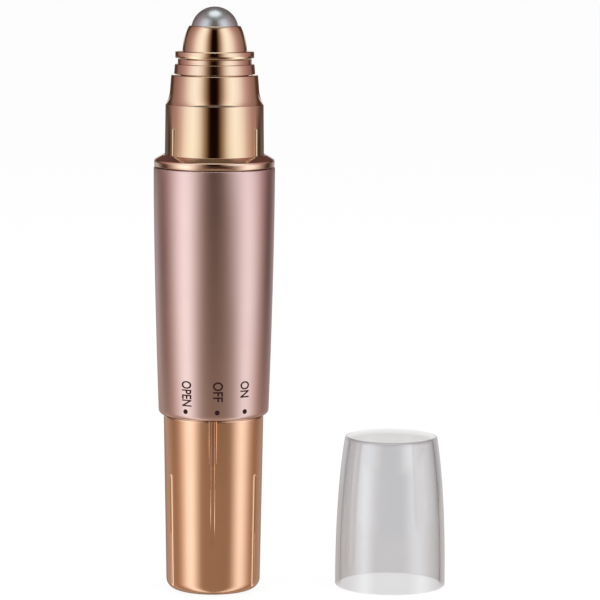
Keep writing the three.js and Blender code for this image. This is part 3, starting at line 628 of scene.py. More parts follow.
# A half-round ridge that fades out at its top, with its root inside the barrel
def addGripRib(bm, size, turn, radius):
    half = size["width"] / 2
    length = size["length"]
    root = size["root"] - radius
    tipRows = size["tipRows"]
    rows = []
    for level in [0, length - half] + [length - half * (1 - i / tipRows) for i in range(1, tipRows)]:
        over = max(0, level - (length - half)) / half
        shrink = math.sqrt(1 - over ** 2)
        wide = half * shrink
        section = arc(0, -radius, wide, -size["height"] * shrink, 0, 180, size["arcSteps"])
        section = [(wide, root), *section, (-wide, root)]
        rows.append([bm.verts.new((x, y, size["foot"] + level)) for x, y in section])
    tip = bm.verts.new((0, -radius, size["foot"] + length))
    made = [vert for row in rows for vert in row] + [tip]
    faces = []
    for low, high in zip(rows, rows[1:]):
        for i in range(len(low) - 1):
            faces.append(bm.faces.new((low[i], low[i + 1], high[i + 1], high[i])))
        faces.append(bm.faces.new((low[-1], low[0], high[0], high[-1])))
    faces += [bm.faces.new((a, b, tip)) for a, b in zip(rows[-1], rows[-1][1:] + rows[-1][:1])]
    faces.append(bm.faces.new(rows[0]))
    bmesh.ops.recalc_face_normals(bm, faces=faces)
    turnVerts(bm, made, turn)


def makeHead(size, ribs):
    bent = size["shoulderRadius"] - (size["shoulderRadius"] - size["crownFootRadius"]) * size["bendInward"]
    rise = size["crownFoot"] - size["shoulder"]
    wall = size["wall"]
    shoulder = bend(
        (size["shoulderRadius"], size["shoulder"]),
        (bent, size["shoulder"] + rise * size["bendUpward"]),
        (size["crownFootRadius"], size["crownFoot"]), size["bendRows"],
    )
    outline = [
        (size["footRadius"] - wall, size["foot"]),
        (size["footRadius"], size["foot"]),
        (size["footRadius"], size["collarTop"]),
        *shoulder,
        (size["crownTopRadius"], size["crownTop"]),
        (size["hole"], size["crownTop"]),
        (size["hole"], size["crownTop"] - wall),
        (size["crownTopRadius"] - wall, size["crownTop"] - wall),
        (size["crownFootRadius"] - wall, size["crownFoot"] - wall / 2),
        (size["shoulderRadius"] - wall, size["shoulder"] - wall / 2),
    ]
    bm = spinOutline(outline, True, size["sides"], rim=size["rim"], sharp=40)
    for turn in ribs["turns"]:
        addGripRib(bm, ribs, turn, size["footRadius"])
    finishPiece(bm, "headShell", "rose_plate", "pen", ["head_shell"])


makeHead(head, gripRibs)


# Neck ring, finely turned
ballRadius = radiusOf("roller_ball")
ballLevel = (footOf("roller_ball") + topOf("roller_ball")) / 2
neck = {
    "foot": topOf("head_shell") + 0.2, "radius": radiusOf("neck_ring"), "topRadius": 8.58, "height": 2.13,
    "neckRadius": 7.97, "top": topOf("neck_ring"), "skirt": 2.4, "skirtRadius": 7.37,
    "bore": ballRadius + 1, "sides": 192, "rim": 0.12,
}


def makeNeck(size):
    foot = size["foot"]
    outline = [
        (size["bore"], foot - size["skirt"]),
        (size["skirtRadius"], foot - size["skirt"]),
        (size["skirtRadius"], foot),
        (size["radius"], foot),
        (size["topRadius"], foot + size["height"]),
        (size["neckRadius"], foot + size["height"]),
        (size["neckRadius"], size["top"]),
        (size["bore"], size["top"]),
    ]
    bm = spinOutline(outline, True, size["sides"], rim=size["rim"], sharp=40)
    finishPiece(bm, "neckRing", "ring", "pen", ["neck_ring"])


makeNeck(neck)


# Ball socket: flange and domed nose round the ball
socket = {
    "foot": topOf("neck_ring") + 0.2, "flangeRadius": radiusOf("ball_socket"), "flangeHeight": 1.42,
    "noseRadius": 6.95, "rimLevel": topOf("ball_socket"), "rimWidth": 0.42, "rimGrip": 0.05,
    "bore": ballRadius + 0.15, "rimDepth": 0.45, "bulgeInward": 0.14, "bulgeUpward": 0.655, "noseRows": 24,
    "skirt": 3.6, "skirtRadius": ballRadius + 0.9, "shelf": ballLevel - ballRadius - 1.15,
    "shelfWidth": 1.5, "shelfHeight": 0.8, "sides": 192, "rim": 0.12,
}


def makeSocket(size):
    foot = size["foot"]
    noseFoot = foot + size["flangeHeight"]
    rim = size["rimLevel"]
    lipRadius = ballRadius - size["rimGrip"]
    rimRadius = lipRadius + size["rimWidth"]
    bulge = size["noseRadius"] - (size["noseRadius"] - rimRadius) * size["bulgeInward"]
    nose = bend(
        (size["noseRadius"], noseFoot),
        (bulge, noseFoot + (rim - noseFoot) * size["bulgeUpward"]),
        (rimRadius, rim), size["noseRows"],
    )
    shelf = size["shelf"]
    outline = [
        (size["bore"], foot - size["skirt"]),
        (size["skirtRadius"], foot - size["skirt"]),
        (size["skirtRadius"], foot),
        (size["flangeRadius"], foot),
        (size["flangeRadius"], noseFoot),
        *nose,
        (lipRadius, rim),
        (size["bore"], rim - size["rimDepth"]),
        (size["bore"], shelf),
        (size["bore"] - size["shelfWidth"], shelf),
        (size["bore"] - size["shelfWidth"], shelf - size["shelfHeight"]),
        (size["bore"], shelf - size["shelfHeight"]),
    ]
    bm = spinOutline(outline, True, size["sides"], rim=size["rim"], sharp=40)
    finishPiece(bm, "ballSocket", "rose_plate", "pen", ["ball_socket"])


makeSocket(socket)


# Roller ball, ground steel
ball = {"radius": ballRadius, "centre": ballLevel, "rows": 72, "sides": 144}


def makeBall(size):
    outline = arc(0, size["centre"], size["radius"], size["radius"], -90, 90, size["rows"])
    outline[0] = (0, outline[0][1])
    outline[-1] = (0, outline[-1][1])
    bm = spinOutline(outline, False, size["sides"], rim=0)
    finishPiece(bm, "rollerBall", "ball_steel", "ball", ["roller_ball"], weighted=False)


makeBall(ball)
print("head, collar and sleeve made")


# Battery cover: a fine grid round its wall, sunk where the index groove, pointer and flutes run
cover = {
    "shown": footOf("grip_sleeve"), "footRadius": 10.27, "topRadius": radiusOf("battery_cover"),
    "edge": 2.2, "edgeRows": 18, "wall": 1.3, "floor": 1.6, "floorRise": 0.6, "floorStep": 0.45, "turn": 0.8,
    "seam": 0.2, "seamEdge": 0.1, "seamBend": 0.03, "seamStart": 0.002, "seamStep": 0.02, "plainTop": 0.05,
    "spigotRadius": 10.78, "spigotTop": footOf("grip_sleeve") + 9.15, "spigotEdge": 0.2, "boreEdge": 0.1,
    "ringGroove": footOf("grip_sleeve") + 5.15, "ringGrooveHalf": 0.43, "ringGrooveFloor": 10.22,
    "ringGrooveEdge": 0.05, "fineStep": 0.3, "coarseStep": 2.4, "fineReach": 6, "rowStep": 0.36,
    "endRows": 6, "endStep": 0.06, "slack": 0.01,
}
indexGroove = {"width": 1.65, "depth": 0.22, "length": 9.35, "wall": 0.16}
pointerGroove = {"width": 0.85, "depth": 0.48, "length": 27.2, "wall": 0.16}
flutes = {"turns": (-57.5, 57.5), "width": 1.4, "depth": 0.42, "length": 26.4, "crest": 0.4}
coverKeys = {"turns": (-90, 90), "width": 3, "height": 2, "root": 1}


def softStep(value, width):
    share = min(max(0.5 + value / width, 0), 1)
    return share * share * (3 - 2 * share)


def coverTaper(size):
    return (size["topRadius"] - size["footRadius"]) / (size["shown"] - size["edge"])


def grooveSink(groove, floorRadius, size, turn, radius, level):
    across = radius * math.radians(turn)
    side = softStep(groove["width"] / 2 - abs(across), groove["wall"])
    end = softStep(level - (size["shown"] - groove["length"]), groove["wall"])
    return max(0, radius - floorRadius) * side * end


# Each flute is the mark of a round cutter, which leaves a rounded top end
def fluteSink(size, turn, radius, level):
    cutter = ((flutes["width"] / 2) ** 2 + flutes["depth"] ** 2) / (2 * flutes["depth"])
    above = max(0, level - (flutes["length"] - cutter))
    deepest = 0
    for centre in flutes["turns"]:
        across = radius * math.radians(turn - centre)
        room = cutter ** 2 - across ** 2 - above ** 2
        if room > 0:
            floorRadius = size["footRadius"] - flutes["depth"] + coverTaper(size) * level
            floorRadius += cutter - math.sqrt(room)
            deepest = max(deepest, radius - floorRadius)
    return deepest


def coverSink(size, turn, radius, level):
    if level > size["shown"] - size["plainTop"]:
        return 0
    indexFloor = size["topRadius"] - coverTaper(size) * indexGroove["length"] - indexGroove["depth"]
    index = grooveSink(indexGroove, indexFloor, size, turn, radius, level)
    pointer = grooveSink(pointerGroove, size["topRadius"] - pointerGroove["depth"], size, turn, radius, level)
    return max(index, pointer, fluteSink(size, turn, radius, level))


def coverTurns(size):
    centres = [0, *flutes["turns"]]
    turns = []
    turn = -180
    while turn < 180 - size["fineStep"]:
        turns.append(turn)
        near = min(abs(turn - centre) for centre in centres)
        turn += size["fineStep"] if near < size["fineReach"] else size["coarseStep"]
    return turns


def coverLevels(size):
    levels = set()
    level = size["edge"]
    while level < size["shown"] - size["seam"] - size["seamEdge"]:
        levels.add(round(level, 3))
        level += size["rowStep"]
    for end in (size["shown"] - indexGroove["length"], flutes["length"] - flutes["crest"]):
        for i in range(-size["endRows"], size["endRows"] + 1):
            levels.add(round(end + i * size["endStep"], 3))
    return sorted(levels)


def coverOutline(size):
    footEdge = size["edge"]
    edge = size["seamEdge"]
    corner = size["seamBend"]
    seam = size["shown"] - size["seam"]
    topRadius = size["topRadius"]
    spigot = size["spigotRadius"]
    spigotTop = size["spigotTop"]
    topBore = topRadius - size["wall"]
    footBore = size["footRadius"] - size["wall"]
    grooveEdge = size["ringGrooveEdge"]
    grooveFoot = size["ringGroove"] - size["ringGrooveHalf"]
    grooveTop = size["ringGroove"] + size["ringGrooveHalf"]
    foot = arc(size["footRadius"] - footEdge, footEdge, footEdge, footEdge, -90, 0, size["edgeRows"])[:-1]
    taper = coverTaper(size)
    wall = [(size["footRadius"] + taper * (level - footEdge), level) for level in coverLevels(size)]
    return foot + wall + [
        (topRadius - size["seamStart"], seam - edge),
        (topRadius - corner, seam - corner),
        (topRadius - edge, seam),
        (spigot, seam + size["seamStep"]),
        (spigot, grooveFoot - grooveEdge),
        (spigot - grooveEdge, grooveFoot),
        (size["ringGrooveFloor"], grooveFoot),
        (size["ringGrooveFloor"], grooveTop),
        (spigot - grooveEdge, grooveTop),
        (spigot, grooveTop + grooveEdge),
        (spigot, spigotTop - size["spigotEdge"]),
        (spigot - size["spigotEdge"], spigotTop),
        (topBore + size["boreEdge"], spigotTop),
        (topBore, spigotTop - size["boreEdge"]),
        (topBore, size["shown"]),
        (footBore, size["floor"] + footEdge),
        (footBore - size["floorStep"], size["floor"] + size["floorRise"]),
        (footBore - size["floor"], size["floor"]),
    ]


def makeCover(size):
    bm = bmesh.new()
    rows = coverOutline(size)
    radius, level = rows[0]
    ring = [bm.verts.new(roundPlace(radius, math.radians(turn), level)) for turn in coverTurns(size)]
    lines = [bm.edges.new(pair) for pair in zip(ring, ring[1:] + ring[:1])]
    footLines = list(lines)
    least = size["footRadius"] - size["edge"] - size["slack"]
    seam = size["shown"] - size["seam"]
    for radius, level in rows[1:]:
        pushed = bmesh.ops.extrude_edge_only(bm, edges=lines)["geom"]
        fresh = set(vertsIn(pushed))
        edges = [part for part in pushed if isinstance(part, bmesh.types.BMEdge)]
        lines = [edge for edge in edges if edge.verts[0] in fresh and edge.verts[1] in fresh]
        outside = radius > least and level < seam
        for vert in fresh:
            angle = math.atan2(vert.co.x, -vert.co.y)
            sink = coverSink(size, math.degrees(angle), radius, level) if outside else 0
            vert.co = roundPlace(radius - sink, angle, level)
    for rim in (footLines, lines):
        fresh = vertsIn(bmesh.ops.extrude_edge_only(bm, edges=rim)["geom"])
        bmesh.ops.pointmerge(bm, verts=fresh, merge_co=(0, 0, fresh[0].co.z))
    bmesh.ops.remove_doubles(bm, verts=bm.verts, dist=weldDistance)
    bmesh.ops.recalc_face_normals(bm, faces=bm.faces)
    keyOuter = math.sqrt(size["spigotRadius"] ** 2 - (coverKeys["width"] / 2) ** 2)
    keyInner = size["topRadius"] - size["wall"] + size["boreEdge"]
    high = coverKeys["height"] + coverKeys["root"]
    centre = (0, -(keyInner + keyOuter) / 2, size["spigotTop"] - coverKeys["root"] + high / 2)
    for turn in coverKeys["turns"]:
        addBlock(bm, (coverKeys["width"], keyOuter - keyInner, high), centre, turn)
    finishPiece(
        bm, "batteryCover", "barrel", "cover", ["battery_cover"], smooth=50, turn=size["turn"],
    )


makeCover(cover)
print("battery cover made")


# Travel cap: a tapering clear cup, standing open end down
cap = {
    "footRadius": radiusOf("travel_cap"), "crownRadius": 10.25, "wall": 1, "roof": 1,
    "height": topOf("travel_cap"), "straight": 2, "edge": 0.7, "corner": 0.4, "bulge": 0.58,
    "place": (39.05, 4.5, 0), "sides": 192, "rows": 36, "edgeRows": 8, "rim": 0.2,
}


def makeCap(size):
    radius = size["footRadius"]
    straight = size["straight"]
    edge = size["edge"]
    edgeLevel = size["height"] - edge
    bulgeLevel = straight + (edgeLevel - straight) * size["bulge"]
    rows = size["rows"]
    outside = bend((radius, straight), (radius, bulgeLevel), (size["crownRadius"], edgeLevel), rows)
    outside += arc(size["crownRadius"] - edge, edgeLevel, edge, edge, 0, 90, size["edgeRows"])[1:]
    roofLevel = size["height"] - size["roof"]
    foot = radius - size["wall"]
    inner = size["crownRadius"] - size["wall"]
    corner = size["corner"]
    cornerLevel = roofLevel - corner
    inside = arc(inner - corner, cornerLevel, corner, corner, 90, 0, size["edgeRows"])[:-1]
    inside += bend((inner, cornerLevel), (foot, bulgeLevel), (foot, straight), rows)
    outline = [(0, roofLevel), *inside, (foot, 0), (radius, 0), *outside, (0, size["height"])]
    bm = spinOutline(outline, False, size["sides"], rim=size["rim"], sharp=40)
    piece = finishPiece(
        bm, "travelCap", "clear_plastic", "cap", ["travel_cap"], place=size["place"],
    )
    piece.visible_glossy = False


makeCap(cap)


# Printed marks: words that read down the sleeve, each over its dot
marks = {
    "words": (
        {"text": "OPEN", "top": 47.41, "length": 5.53, "turn": -32.6, "height": 2.35},
        {"text": "OFF", "top": 47.38, "length": 4.31, "turn": 0.75, "height": 2.2},
        {"text": "ON", "top": 47.34, "length": 3.56, "turn": 29.6, "height": 2.2},
    ),
    "dots": ((-28.6, 40.68), (5.24, 40.68), (35.4, 40.68)),
    "dotRadius": 0.54, "dotSides": 32, "thickness": 0.02, "weight": 0.018, "smoothness": 6,
    "slice": 0.3, "cutDistance": 1e-6, "weldDistance": 1e-5,
}


# Gives a flat mark its thickness, bends it round the sleeve and puts it on the pen
def finishMark(bm, name, turn, top):
    thicken(bm, marks["thickness"])
    for vert in bm.verts:
        level = top - vert.co.x
        radius = sleeveRadius(level)
        angle = math.radians(turn) + vert.co.y / radius
        vert.co = roundPlace(radius + vert.co.z, angle, level)
    bmesh.ops.recalc_face_normals(bm, faces=bm.faces)
    finishPiece(bm, name, "ink", "pen", weighted=False)


def sliceAcross(bm, high, size):
    cut = size["slice"]
    while cut < high:
        parts = list(bm.verts) + list(bm.edges) + list(bm.faces)
        bmesh.ops.bisect_plane(
            bm, geom=parts, dist=size["cutDistance"], plane_co=(0, cut, 0), plane_no=(0, 1, 0),
        )
        cut += size["slice"]


def makeWord(word, size):
    curve = bpy.data.curves.new(word["text"], "FONT")
    curve.body = word["text"]
    curve.offset = size["weight"]
    curve.resolution_u = size["smoothness"]
    draft = newObject(word["text"], curve)
    bpy.context.view_layer.update()
    flat = bpy.data.meshes.new_from_object(draft.evaluated_get(bpy.context.evaluated_depsgraph_get()))
    bpy.data.objects.remove(draft)
    bpy.data.curves.remove(curve)
    bm = bmesh.new()
    bm.from_mesh(flat)
    bpy.data.meshes.remove(flat)
    bmesh.ops.remove_doubles(bm, verts=bm.verts, dist=size["weldDistance"])
    xs = [vert.co.x for vert in bm.verts]
    ys = [vert.co.y for vert in bm.verts]
    bmesh.ops.translate(bm, vec=(-min(xs), -min(ys), 0), verts=bm.verts)
    wide = word["length"] / (max(xs) - min(xs))
    tall = word["height"] / (max(ys) - min(ys))
    bmesh.ops.scale(bm, vec=(wide, tall, 1), verts=bm.verts)
    sliceAcross(bm, word["height"], size)
    finishMark(bm, "mark_" + word["text"].lower(), word["turn"], word["top"])


def makeDot(number, turn, level, size):
    bm = bmesh.new()
    bmesh.ops.create_circle(bm, cap_ends=True, radius=size["dotRadius"], segments=size["dotSides"])
    finishMark(bm, "mark_dot_" + str(number), turn, level)


for word in marks["words"]:
    makeWord(word, marks)
for number, (turn, level) in enumerate(marks["dots"]):
    makeDot(number, turn, level, marks)
print("cap and marks made")


# Core housing: what shows of it is the battery tube, once the cover is pulled off
core = {
    "bore": 5.45, "tubeRadius": 6.65, "mouth": 8.26, "journal": 43.75, "journalRadius": 8,
    "flange": 51.95, "flangeTop": 54.35, "flangeRadius": 11.33, "upperFlange": 83.4, "upperFlangeTop": 85.8,
    "spigotRadius": 9.38, "top": 92.02, "stemBore": 6.25, "partition": 52.46, "partitionTop": 54.46,
    "holeRadius": 2.6, "sides": 128, "rim": 0.15,
    "ribTurns": (-135, -45, 45, 135), "ribWidth": 1.2, "ribRoot": 0.6, "ribOuter": 8.09,
    "ribFoot": 9.26, "ribTop": 44.75, "ribRim": 0.2,
}
coreCorners = (
    ("bore", "mouth"), ("tubeRadius", "mouth"), ("tubeRadius", "journal"), ("journalRadius", "journal"),
    ("journalRadius", "flange"), ("flangeRadius", "flange"), ("flangeRadius", "flangeTop"),
    ("journalRadius", "flangeTop"), ("journalRadius", "upperFlange"), ("flangeRadius", "upperFlange"),
    ("flangeRadius", "upperFlangeTop"), ("spigotRadius", "upperFlangeTop"), ("spigotRadius", "top"),
    ("stemBore", "top"), ("stemBore", "partitionTop"), ("holeRadius", "partitionTop"),
    ("holeRadius", "partition"), ("bore", "partition"),
)


def makeCore(size, corners):
    outline = [(size[radius], size[level]) for radius, level in corners]
    bm = spinOutline(outline, True, size["sides"], rim=size["rim"], sharp=40)
    inner = size["bore"] + size["ribRoot"]
    high = size["ribTop"] - size["ribFoot"]
    centre = (0, -(inner + size["ribOuter"]) / 2, size["ribFoot"] + high / 2)
    for turn in size["ribTurns"]:
        addBlock(bm, (size["ribWidth"], size["ribOuter"] - inner, high), centre, turn, rim=size["ribRim"])
    finishPiece(bm, "coreHousing", "white_nylon", "pen", ["core_housing"])


makeCore(core, coreCorners)


# Cover's rubber ring
coverRing = {"radius": 10.65, "section": 0.33, "sectionSides": 20, "level": cover["ringGroove"], "sides": 128}


def makeCoverRing(size):
    section = size["section"]
    outline = arc(size["radius"], size["level"], section, section, 0, 360, size["sectionSides"])[:-1]
    bm = spinOutline(outline, True, size["sides"], rim=0)
    finishPiece(bm, "coverORing", "black_rubber", "cover", ["cover_o_ring"], weighted=False)


makeCoverRing(coverRing)


# Spring under the battery: round wire, coiled to a smaller top
spring = {
    "level": 2.38, "height": 4.7, "baseRadius": 3.3, "topRadius": 2.5, "wire": 0.28, "wireSides": 12,
    "curls": 4.5, "steps": 48,
}


def makeSpring(size):
    bm = bmesh.new()
    bmesh.ops.create_circle(bm, cap_ends=True, radius=size["wire"], segments=size["wireSides"])
    bmesh.ops.rotate(bm, cent=(0, 0, 0), matrix=Matrix.Rotation(math.radians(90), 3, "X"), verts=bm.verts)
    bmesh.ops.translate(bm, vec=(size["baseRadius"], 0, 0), verts=bm.verts)
    steps = round(size["curls"] * size["steps"])
    bmesh.ops.spin(
        bm, geom=list(bm.verts) + list(bm.edges) + list(bm.faces), cent=(0, 0, 0), axis=(0, 0, 1),
        dvec=(0, 0, size["height"] / steps), angle=2 * math.pi * size["curls"], steps=steps,
        use_duplicate=False,
    )
    for vert in bm.verts:
        reach = math.hypot(vert.co.x, vert.co.y)
        share = min(max(vert.co.z / size["height"], 0), 1)
        drawn = (reach - (size["baseRadius"] - size["topRadius"]) * share) / reach
        vert.co.x *= drawn
        vert.co.y *= drawn
    bmesh.ops.remove_doubles(bm, verts=bm.verts, dist=weldDistance)
    bmesh.ops.recalc_face_normals(bm, faces=bm.faces)
    finishPiece(
        bm, "negativeSpring", "nickel", "cover", ["negative_spring"],
        place=(0, 0, size["level"]), turn=cover["turn"], weighted=False, smooth=50,
    )


makeSpring(spring)


# Battery: label round a steel can, with bare ends
battery = {
    "foot": 7.46, "radius": 5.25, "length": 44.5, "edge": 0.4, "edgeRows": 5, "nubRadius": 1.9,
    "nubHeight": 1, "dishDepth": 0.15, "dishEdge": 1.1, "dishFloor": 1.4, "bareTop": 1.2,
    "sides": 96, "rim": 0.08,
}


def makeBattery(size):
    foot = size["foot"]
    top = foot + size["length"]
    shoulder = top - size["nubHeight"]
    edge = size["edge"]
    radius = size["radius"]
    dish = foot + size["dishDepth"]
    outline = [(0, dish), (radius - size["dishFloor"], dish), (radius - size["dishEdge"], foot)]
    outline += arc(radius - edge, foot + edge, edge, edge, -90, 0, size["edgeRows"])
    outline += arc(radius - edge, shoulder - edge, edge, edge, 0, 90, size["edgeRows"])
    outline += [(size["nubRadius"], shoulder), (size["nubRadius"], top), (0, top)]
    bm = spinOutline(outline, False, size["sides"], rim=size["rim"], sharp=40)
    piece = finishPiece(bm, "dryCell", "cell_label", "pen", ["aaa_battery"])
    piece.data.materials.append(finishes["nickel"])
    for face in piece.data.polygons:
        if face.center.z < (foot + edge) * mm or face.center.z > (shoulder - size["bareTop"]) * mm:
            face.material_index = 1


makeBattery(battery)
print("inner pieces made")


# The CAD nodes that stay: a finish for each node
nodeFinishes = {
    "ball_seat": "white_nylon", "motor_end_cap": "white_nylon", "motor_mount": "black_rubber",
    "motor_can": "motor_steel", "motor_armature": "motor_steel", "motor_magnet_left": "magnet",
    "motor_magnet_right": "magnet", "motor_terminal_positive": "nickel", "motor_terminal_negative": "nickel",
    "motor_shaft": "nickel", "positive_contact": "nickel", "cover_contact": "nickel",
    "switch_contact": "spring_brass", "eccentric_weight": "weight_metal", "switch_ring": "grey_nylon",
    "motor_lead_positive": "red_lead", "motor_lead_negative": "black_lead",
}
for name, finish in nodeFinishes.items():
    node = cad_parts[name]
    node.data.materials.clear()
    node.data.materials.append(finishes[finish])
print("carried-over nodes finished")


# Studio, in metres: a pale floor, soft lamps, and a domed tent that only reflections see.
# The horizon is a pale patch of cloth behind, and high is a bright round patch in the dim top.
studio = {
    "floorHalf": 4, "floorDrop": 0.00005, "floorColour": 0.95, "floorRoughness": 0.9, "floorGlow": 0.9,
    "ambient": 0.8, "tentRadius": 0.62, "tentLow": -0.5, "domeFoot": 0.12, "domeRows": 24, "tentSides": 96,
    "blend": 0.0012, "softEdge": 0.012,
    "coverTop": -0.0624, "sleeveTop": 0.0382, "collarTop": 0.0448, "barrelTop": 0.0668,
    "horizonLow": 0.12, "horizonHigh": 0.17, "horizonFrom": 0.8, "horizonTo": 0.94,
    "horizonLight": 1.15, "horizonGreen": 0.96, "horizonBlue": 0.95,
    "topLow": 0.57, "topHigh": 0.65, "topLight": 0.16, "topGreen": 0.85, "topBlue": 0.75,
    "highPlace": (0, 0.02, 0.74), "highNear": 0.15, "highFar": 0.28, "highLight": 1.7,
}
# Brightness of the tent by turn from the camera's side, in degrees, one row for each band of heights.
# The cloth is warm where it is dim: each pair gives how fast green and blue fall at front, sides and back.
# Left is how much brighter the left half is, and cool is how much more blue the row has.
tentRows = {
    "cover": {
        "aside": 7, "left": 1.08, "cool": 1,
        "front": (0.27, 0.55), "sides": (0.34, 0.64), "back": (0.24, 0.42),
        "bands": (
            (0, 0.35), (24, 0.33), (34, 0.34), (44, 0.68), (53, 1.01), (60, 1.17), (68, 1.1), (80, 0.78),
            (88, 0.55), (98, 0.38), (110, 0.34), (125, 0.42), (138, 0.46), (150, 0.42), (165, 0.32),
            (180, 0.26),
        ),
    },
    "sleeve": {
        "aside": 8, "left": 1.14, "cool": 1, "front": (0.2, 0.25), "sides": (0.22, 0.28), "back": (0.08, 0.1),
        "bands": (
            (0, 0.05), (14, 0.06), (26, 0.18), (38, 0.54), (50, 1.02), (60, 1.3), (72, 1.24), (84, 0.88),
            (96, 0.45), (110, 0.12), (120, 0.07), (130, 0.17), (140, 0.34), (152, 0.52), (165, 0.4),
            (180, 0.25),
        ),
    },
    "collar": {
        "aside": 0, "left": 1, "cool": 1, "front": (0.25, 0.45), "sides": (0.3, 0.5), "back": (0.08, 0.1),
        "bands": (
            (0, 0.008), (12, 0.01), (17, 0.12), (24, 0.2), (30, 0.32), (38, 0.52), (48, 0.82), (57, 1.04),
            (66, 1.2), (76, 1.2), (85, 1.1), (95, 0.86), (104, 0.44), (112, 0.2), (127, 0.07), (140, 0.16),
            (157, 0.4), (180, 0.3),
        ),
    },
    "barrel": {
        "aside": 0, "left": 1, "cool": 1, "front": (0.26, 0.58), "sides": (0.52, 0.64), "back": (0.08, 0.12),
        "bands": (
            (0, 0.006), (8, 0.012), (12, 0.07), (16, 0.2), (20, 0.33), (25, 0.54), (30, 0.79), (36, 0.98),
            (42, 1.09), (50, 1.17), (62, 1.11), (72, 0.99), (84, 0.71), (97, 0.52), (104, 0.45), (112, 0.5),
            (118, 0.28), (125, 0.07), (131, 0.05), (141, 0.15), (152, 0.14), (180, 0.14),
        ),
    },
    "crown": {
        "aside": 0, "left": 1, "cool": 1.06, "front": (0.28, 0.5), "sides": (0.5, 0.52), "back": (0.3, 0.4),
        "bands": (
            (0, 0.006), (8, 0.012), (12, 0.07), (16, 0.2), (20, 0.33), (25, 0.52), (30, 0.76), (36, 0.96),
            (42, 1.09), (50, 1.17), (62, 1.08), (72, 0.93), (84, 0.68), (97, 0.5), (112, 0.38), (126, 0.28),
            (137, 0.12), (146, 0.07), (156, 0.12), (180, 0.12),
        ),
    },
}
# Where a row's sides and back begin, and over how much of the left half its gain grows
tentTurns = {"sides": 70, "back": 123, "leftReach": -0.2}


def makeFloor(size):
    bm = bmesh.new()
    bmesh.ops.create_grid(bm, x_segments=2, y_segments=2, size=size["floorHalf"])
    bmesh.ops.translate(bm, vec=(0, 0, -size["floorDrop"]), verts=bm.verts)
    floor = meshObject(bm, "studioFloor")
    material, tree, shader = startMaterial("paleFloor")
    shade = size["floorColour"]
    shader.inputs["Base Color"].default_value = (shade, shade, shade, 1)
    shader.inputs["Roughness"].default_value = size["floorRoughness"]
    shader.inputs["Specular IOR Level"].default_value = 0
    glow = tree.nodes.new("ShaderNodeEmission")
    path = tree.nodes.new("ShaderNodeLightPath")
    mix = tree.nodes.new("ShaderNodeMixShader")
    seen = mathNode(tree, "MAXIMUM", path.outputs["Is Camera Ray"], path.outputs["Is Transmission Ray"])
    tree.links.new(product(tree, seen, size["floorGlow"]), mix.inputs[0])
    tree.links.new(shader.outputs[0], mix.inputs[1])
    tree.links.new(glow.outputs[0], mix.inputs[2])
    tree.links.new(mix.outputs[0], tree.nodes["Material Output"].inputs["Surface"])
    floor.data.materials.append(material)
    floor.visible_glossy = False


def warmth(row, degree):
    if degree < tentTurns["sides"]:
        return row["front"]
    return row["sides"] if degree < tentTurns["back"] else row["back"]


# One height band of the tent
def tentRow(tree, turn, row):
    away = mathNode(tree, "ABSOLUTE", mathNode(tree, "SUBTRACT", turn, row["aside"] / 180))
    gain = rangeNode(tree, turn, tentTurns["leftReach"], 0, row["left"], 1, smooth=True)
    ramp = tree.nodes.new("ShaderNodeValToRGB")
    points = ramp.color_ramp.elements
    points.remove(points[-1])
    peak = max(light for degree, light in row["bands"])
    for number, (degree, light) in enumerate(row["bands"]):
        point = points[0] if number == 0 else points.new(degree / 180)
        point.position = degree / 180
        share = light / peak
        green, blue = (share ** (1 + fall) for fall in warmth(row, degree))
        point.color = (share, green, blue * row["cool"], 1)
    tree.links.new(away, ramp.inputs[0])
    scaled = tree.nodes.new("ShaderNodeVectorMath")
    scaled.operation = "SCALE"
    tree.links.new(product(tree, gain, peak), scaled.inputs["Scale"])
    tree.links.new(ramp.outputs[0], scaled.inputs[0])
    return scaled.outputs[0]


# A mask that turns from one value to the other within a reach of a level
def levelEdge(tree, level, edge, reach, below=0, above=1):
    return rangeNode(tree, level, edge - reach, edge + reach, below, above, smooth=True)


def clothLight(tree, size, rows):
    axes = axesOf(tree, objectPlace(tree))
    front = product(tree, axes["Y"], -1)
    turn = mathNode(tree, "DIVIDE", mathNode(tree, "ARCTAN2", axes["X"], front), math.pi)
    level = axes["Z"]
    blend = size["blend"]
    soft = size["softEdge"]
    light = tentRow(tree, turn, rows["cover"])
    upper = (
        ("coverTop", blend, "sleeve"), ("sleeveTop", blend, "collar"),
        ("collarTop", blend, "barrel"), ("barrelTop", soft, "crown"),
    )
    for edge, reach, name in upper:
        above = levelEdge(tree, level, size[edge], reach)
        light = mixColour(tree, above, light, tentRow(tree, turn, rows[name]))
    away = mathNode(tree, "ABSOLUTE", turn)
    behind = rangeNode(tree, away, size["horizonFrom"], size["horizonTo"], 0, 1, smooth=True)
    above = levelEdge(tree, level, size["horizonLow"], soft)
    below = levelEdge(tree, level, size["horizonHigh"], soft, 1, 0)
    pale = size["horizonLight"]
    paleCloth = (pale, pale * size["horizonGreen"], pale * size["horizonBlue"])
    light = mixColour(tree, product(tree, behind, above, below), light, paleCloth)
    dim = size["topLight"]
    top = rangeNode(tree, level, size["topLow"], size["topHigh"], 0, 1, smooth=True)
    light = mixColour(tree, top, light, (dim, dim * size["topGreen"], dim * size["topBlue"]))
    distance = tree.nodes.new("ShaderNodeVectorMath")
    distance.operation = "DISTANCE"
    tree.links.new(objectPlace(tree), distance.inputs[0])
    distance.inputs[1].default_value = size["highPlace"]
    high = rangeNode(tree, distance.outputs["Value"], size["highNear"], size["highFar"], 1, 0, smooth=True)
    return mixColour(tree, high, light, (size["highLight"],) * 3)


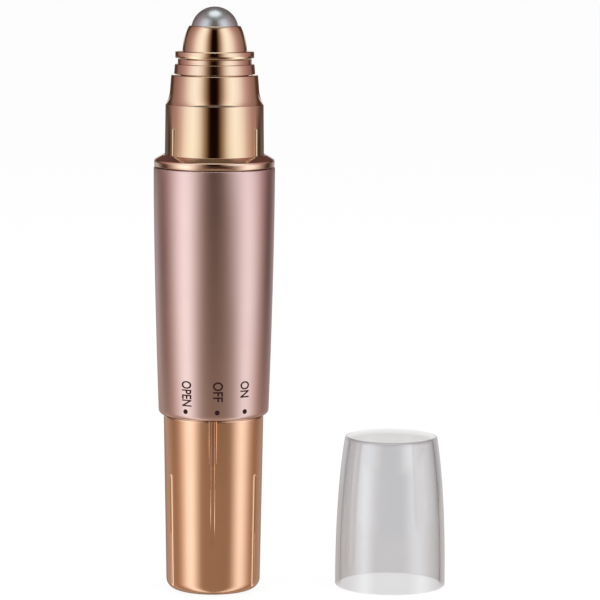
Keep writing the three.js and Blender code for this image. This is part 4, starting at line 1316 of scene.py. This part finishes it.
def makeTent(size, rows):
    radius = size["tentRadius"]
    outline = [(0, size["tentLow"]), (radius, size["tentLow"])]
    outline += arc(0, size["domeFoot"], radius, radius, 0, 90, size["domeRows"])
    outline[-1] = (0, outline[-1][1])
    tent = meshObject(spinOutline(outline, False, size["tentSides"], rim=0), "studioTent")
    tent.data.shade_smooth()
    material, tree, shader = startMaterial("tentCloth")
    tree.nodes.remove(shader)
    glow = tree.nodes.new("ShaderNodeEmission")
    tree.links.new(clothLight(tree, size, rows), glow.inputs["Color"])
    tree.links.new(glow.outputs[0], tree.nodes["Material Output"].inputs["Surface"])
    tent.data.materials.append(material)
    for sight in ("camera", "diffuse", "transmission", "volume_scatter", "shadow"):
        setattr(tent, "visible_" + sight, False)


lamps = {
    "softLeft": {"place": (-0.55, -0.6, 0.5), "target": (0, 0, 0.06), "width": 0.5, "power": 2.2},
    "softRight": {"place": (0.6, -0.5, 0.5), "target": (0, 0, 0.06), "width": 0.5, "power": 2.2},
    "softTop": {"place": (0, 0.1, 0.9), "target": (0, 0, 0.05), "width": 0.7, "power": 3},
}


def makeLamp(name, setup):
    light = bpy.data.lights.new(name, "AREA")
    light.shape = "SQUARE"
    light.size = setup["width"]
    light.energy = setup["power"]
    lamp = newObject(name, light)
    lamp.location = setup["place"]
    lamp.rotation_mode = "QUATERNION"
    lamp.rotation_quaternion = (Vector(setup["target"]) - Vector(setup["place"])).to_track_quat("-Z", "Y")
    lamp.visible_glossy = False


def makeWorld(size):
    world = bpy.data.worlds.new("studioWorld")
    bpy.context.scene.world = world
    world.use_nodes = True
    tree = world.node_tree
    background = tree.nodes["Background"]
    background.inputs["Color"].default_value = (1, 1, 1, 1)
    path = tree.nodes.new("ShaderNodeLightPath")
    seen = mathNode(tree, "MAXIMUM", path.outputs["Is Camera Ray"], path.outputs["Is Glossy Ray"])
    seen = mathNode(tree, "MAXIMUM", seen, path.outputs["Is Transmission Ray"])
    strength = rangeNode(tree, seen, 0, 1, size["ambient"], 1)
    tree.links.new(strength, background.inputs["Strength"])


makeFloor(studio)
makeTent(studio, tentRows)
for name, setup in lamps.items():
    makeLamp(name, setup)
makeWorld(studio)
bpy.context.scene.view_settings.view_transform = "Standard"
print("studio made")
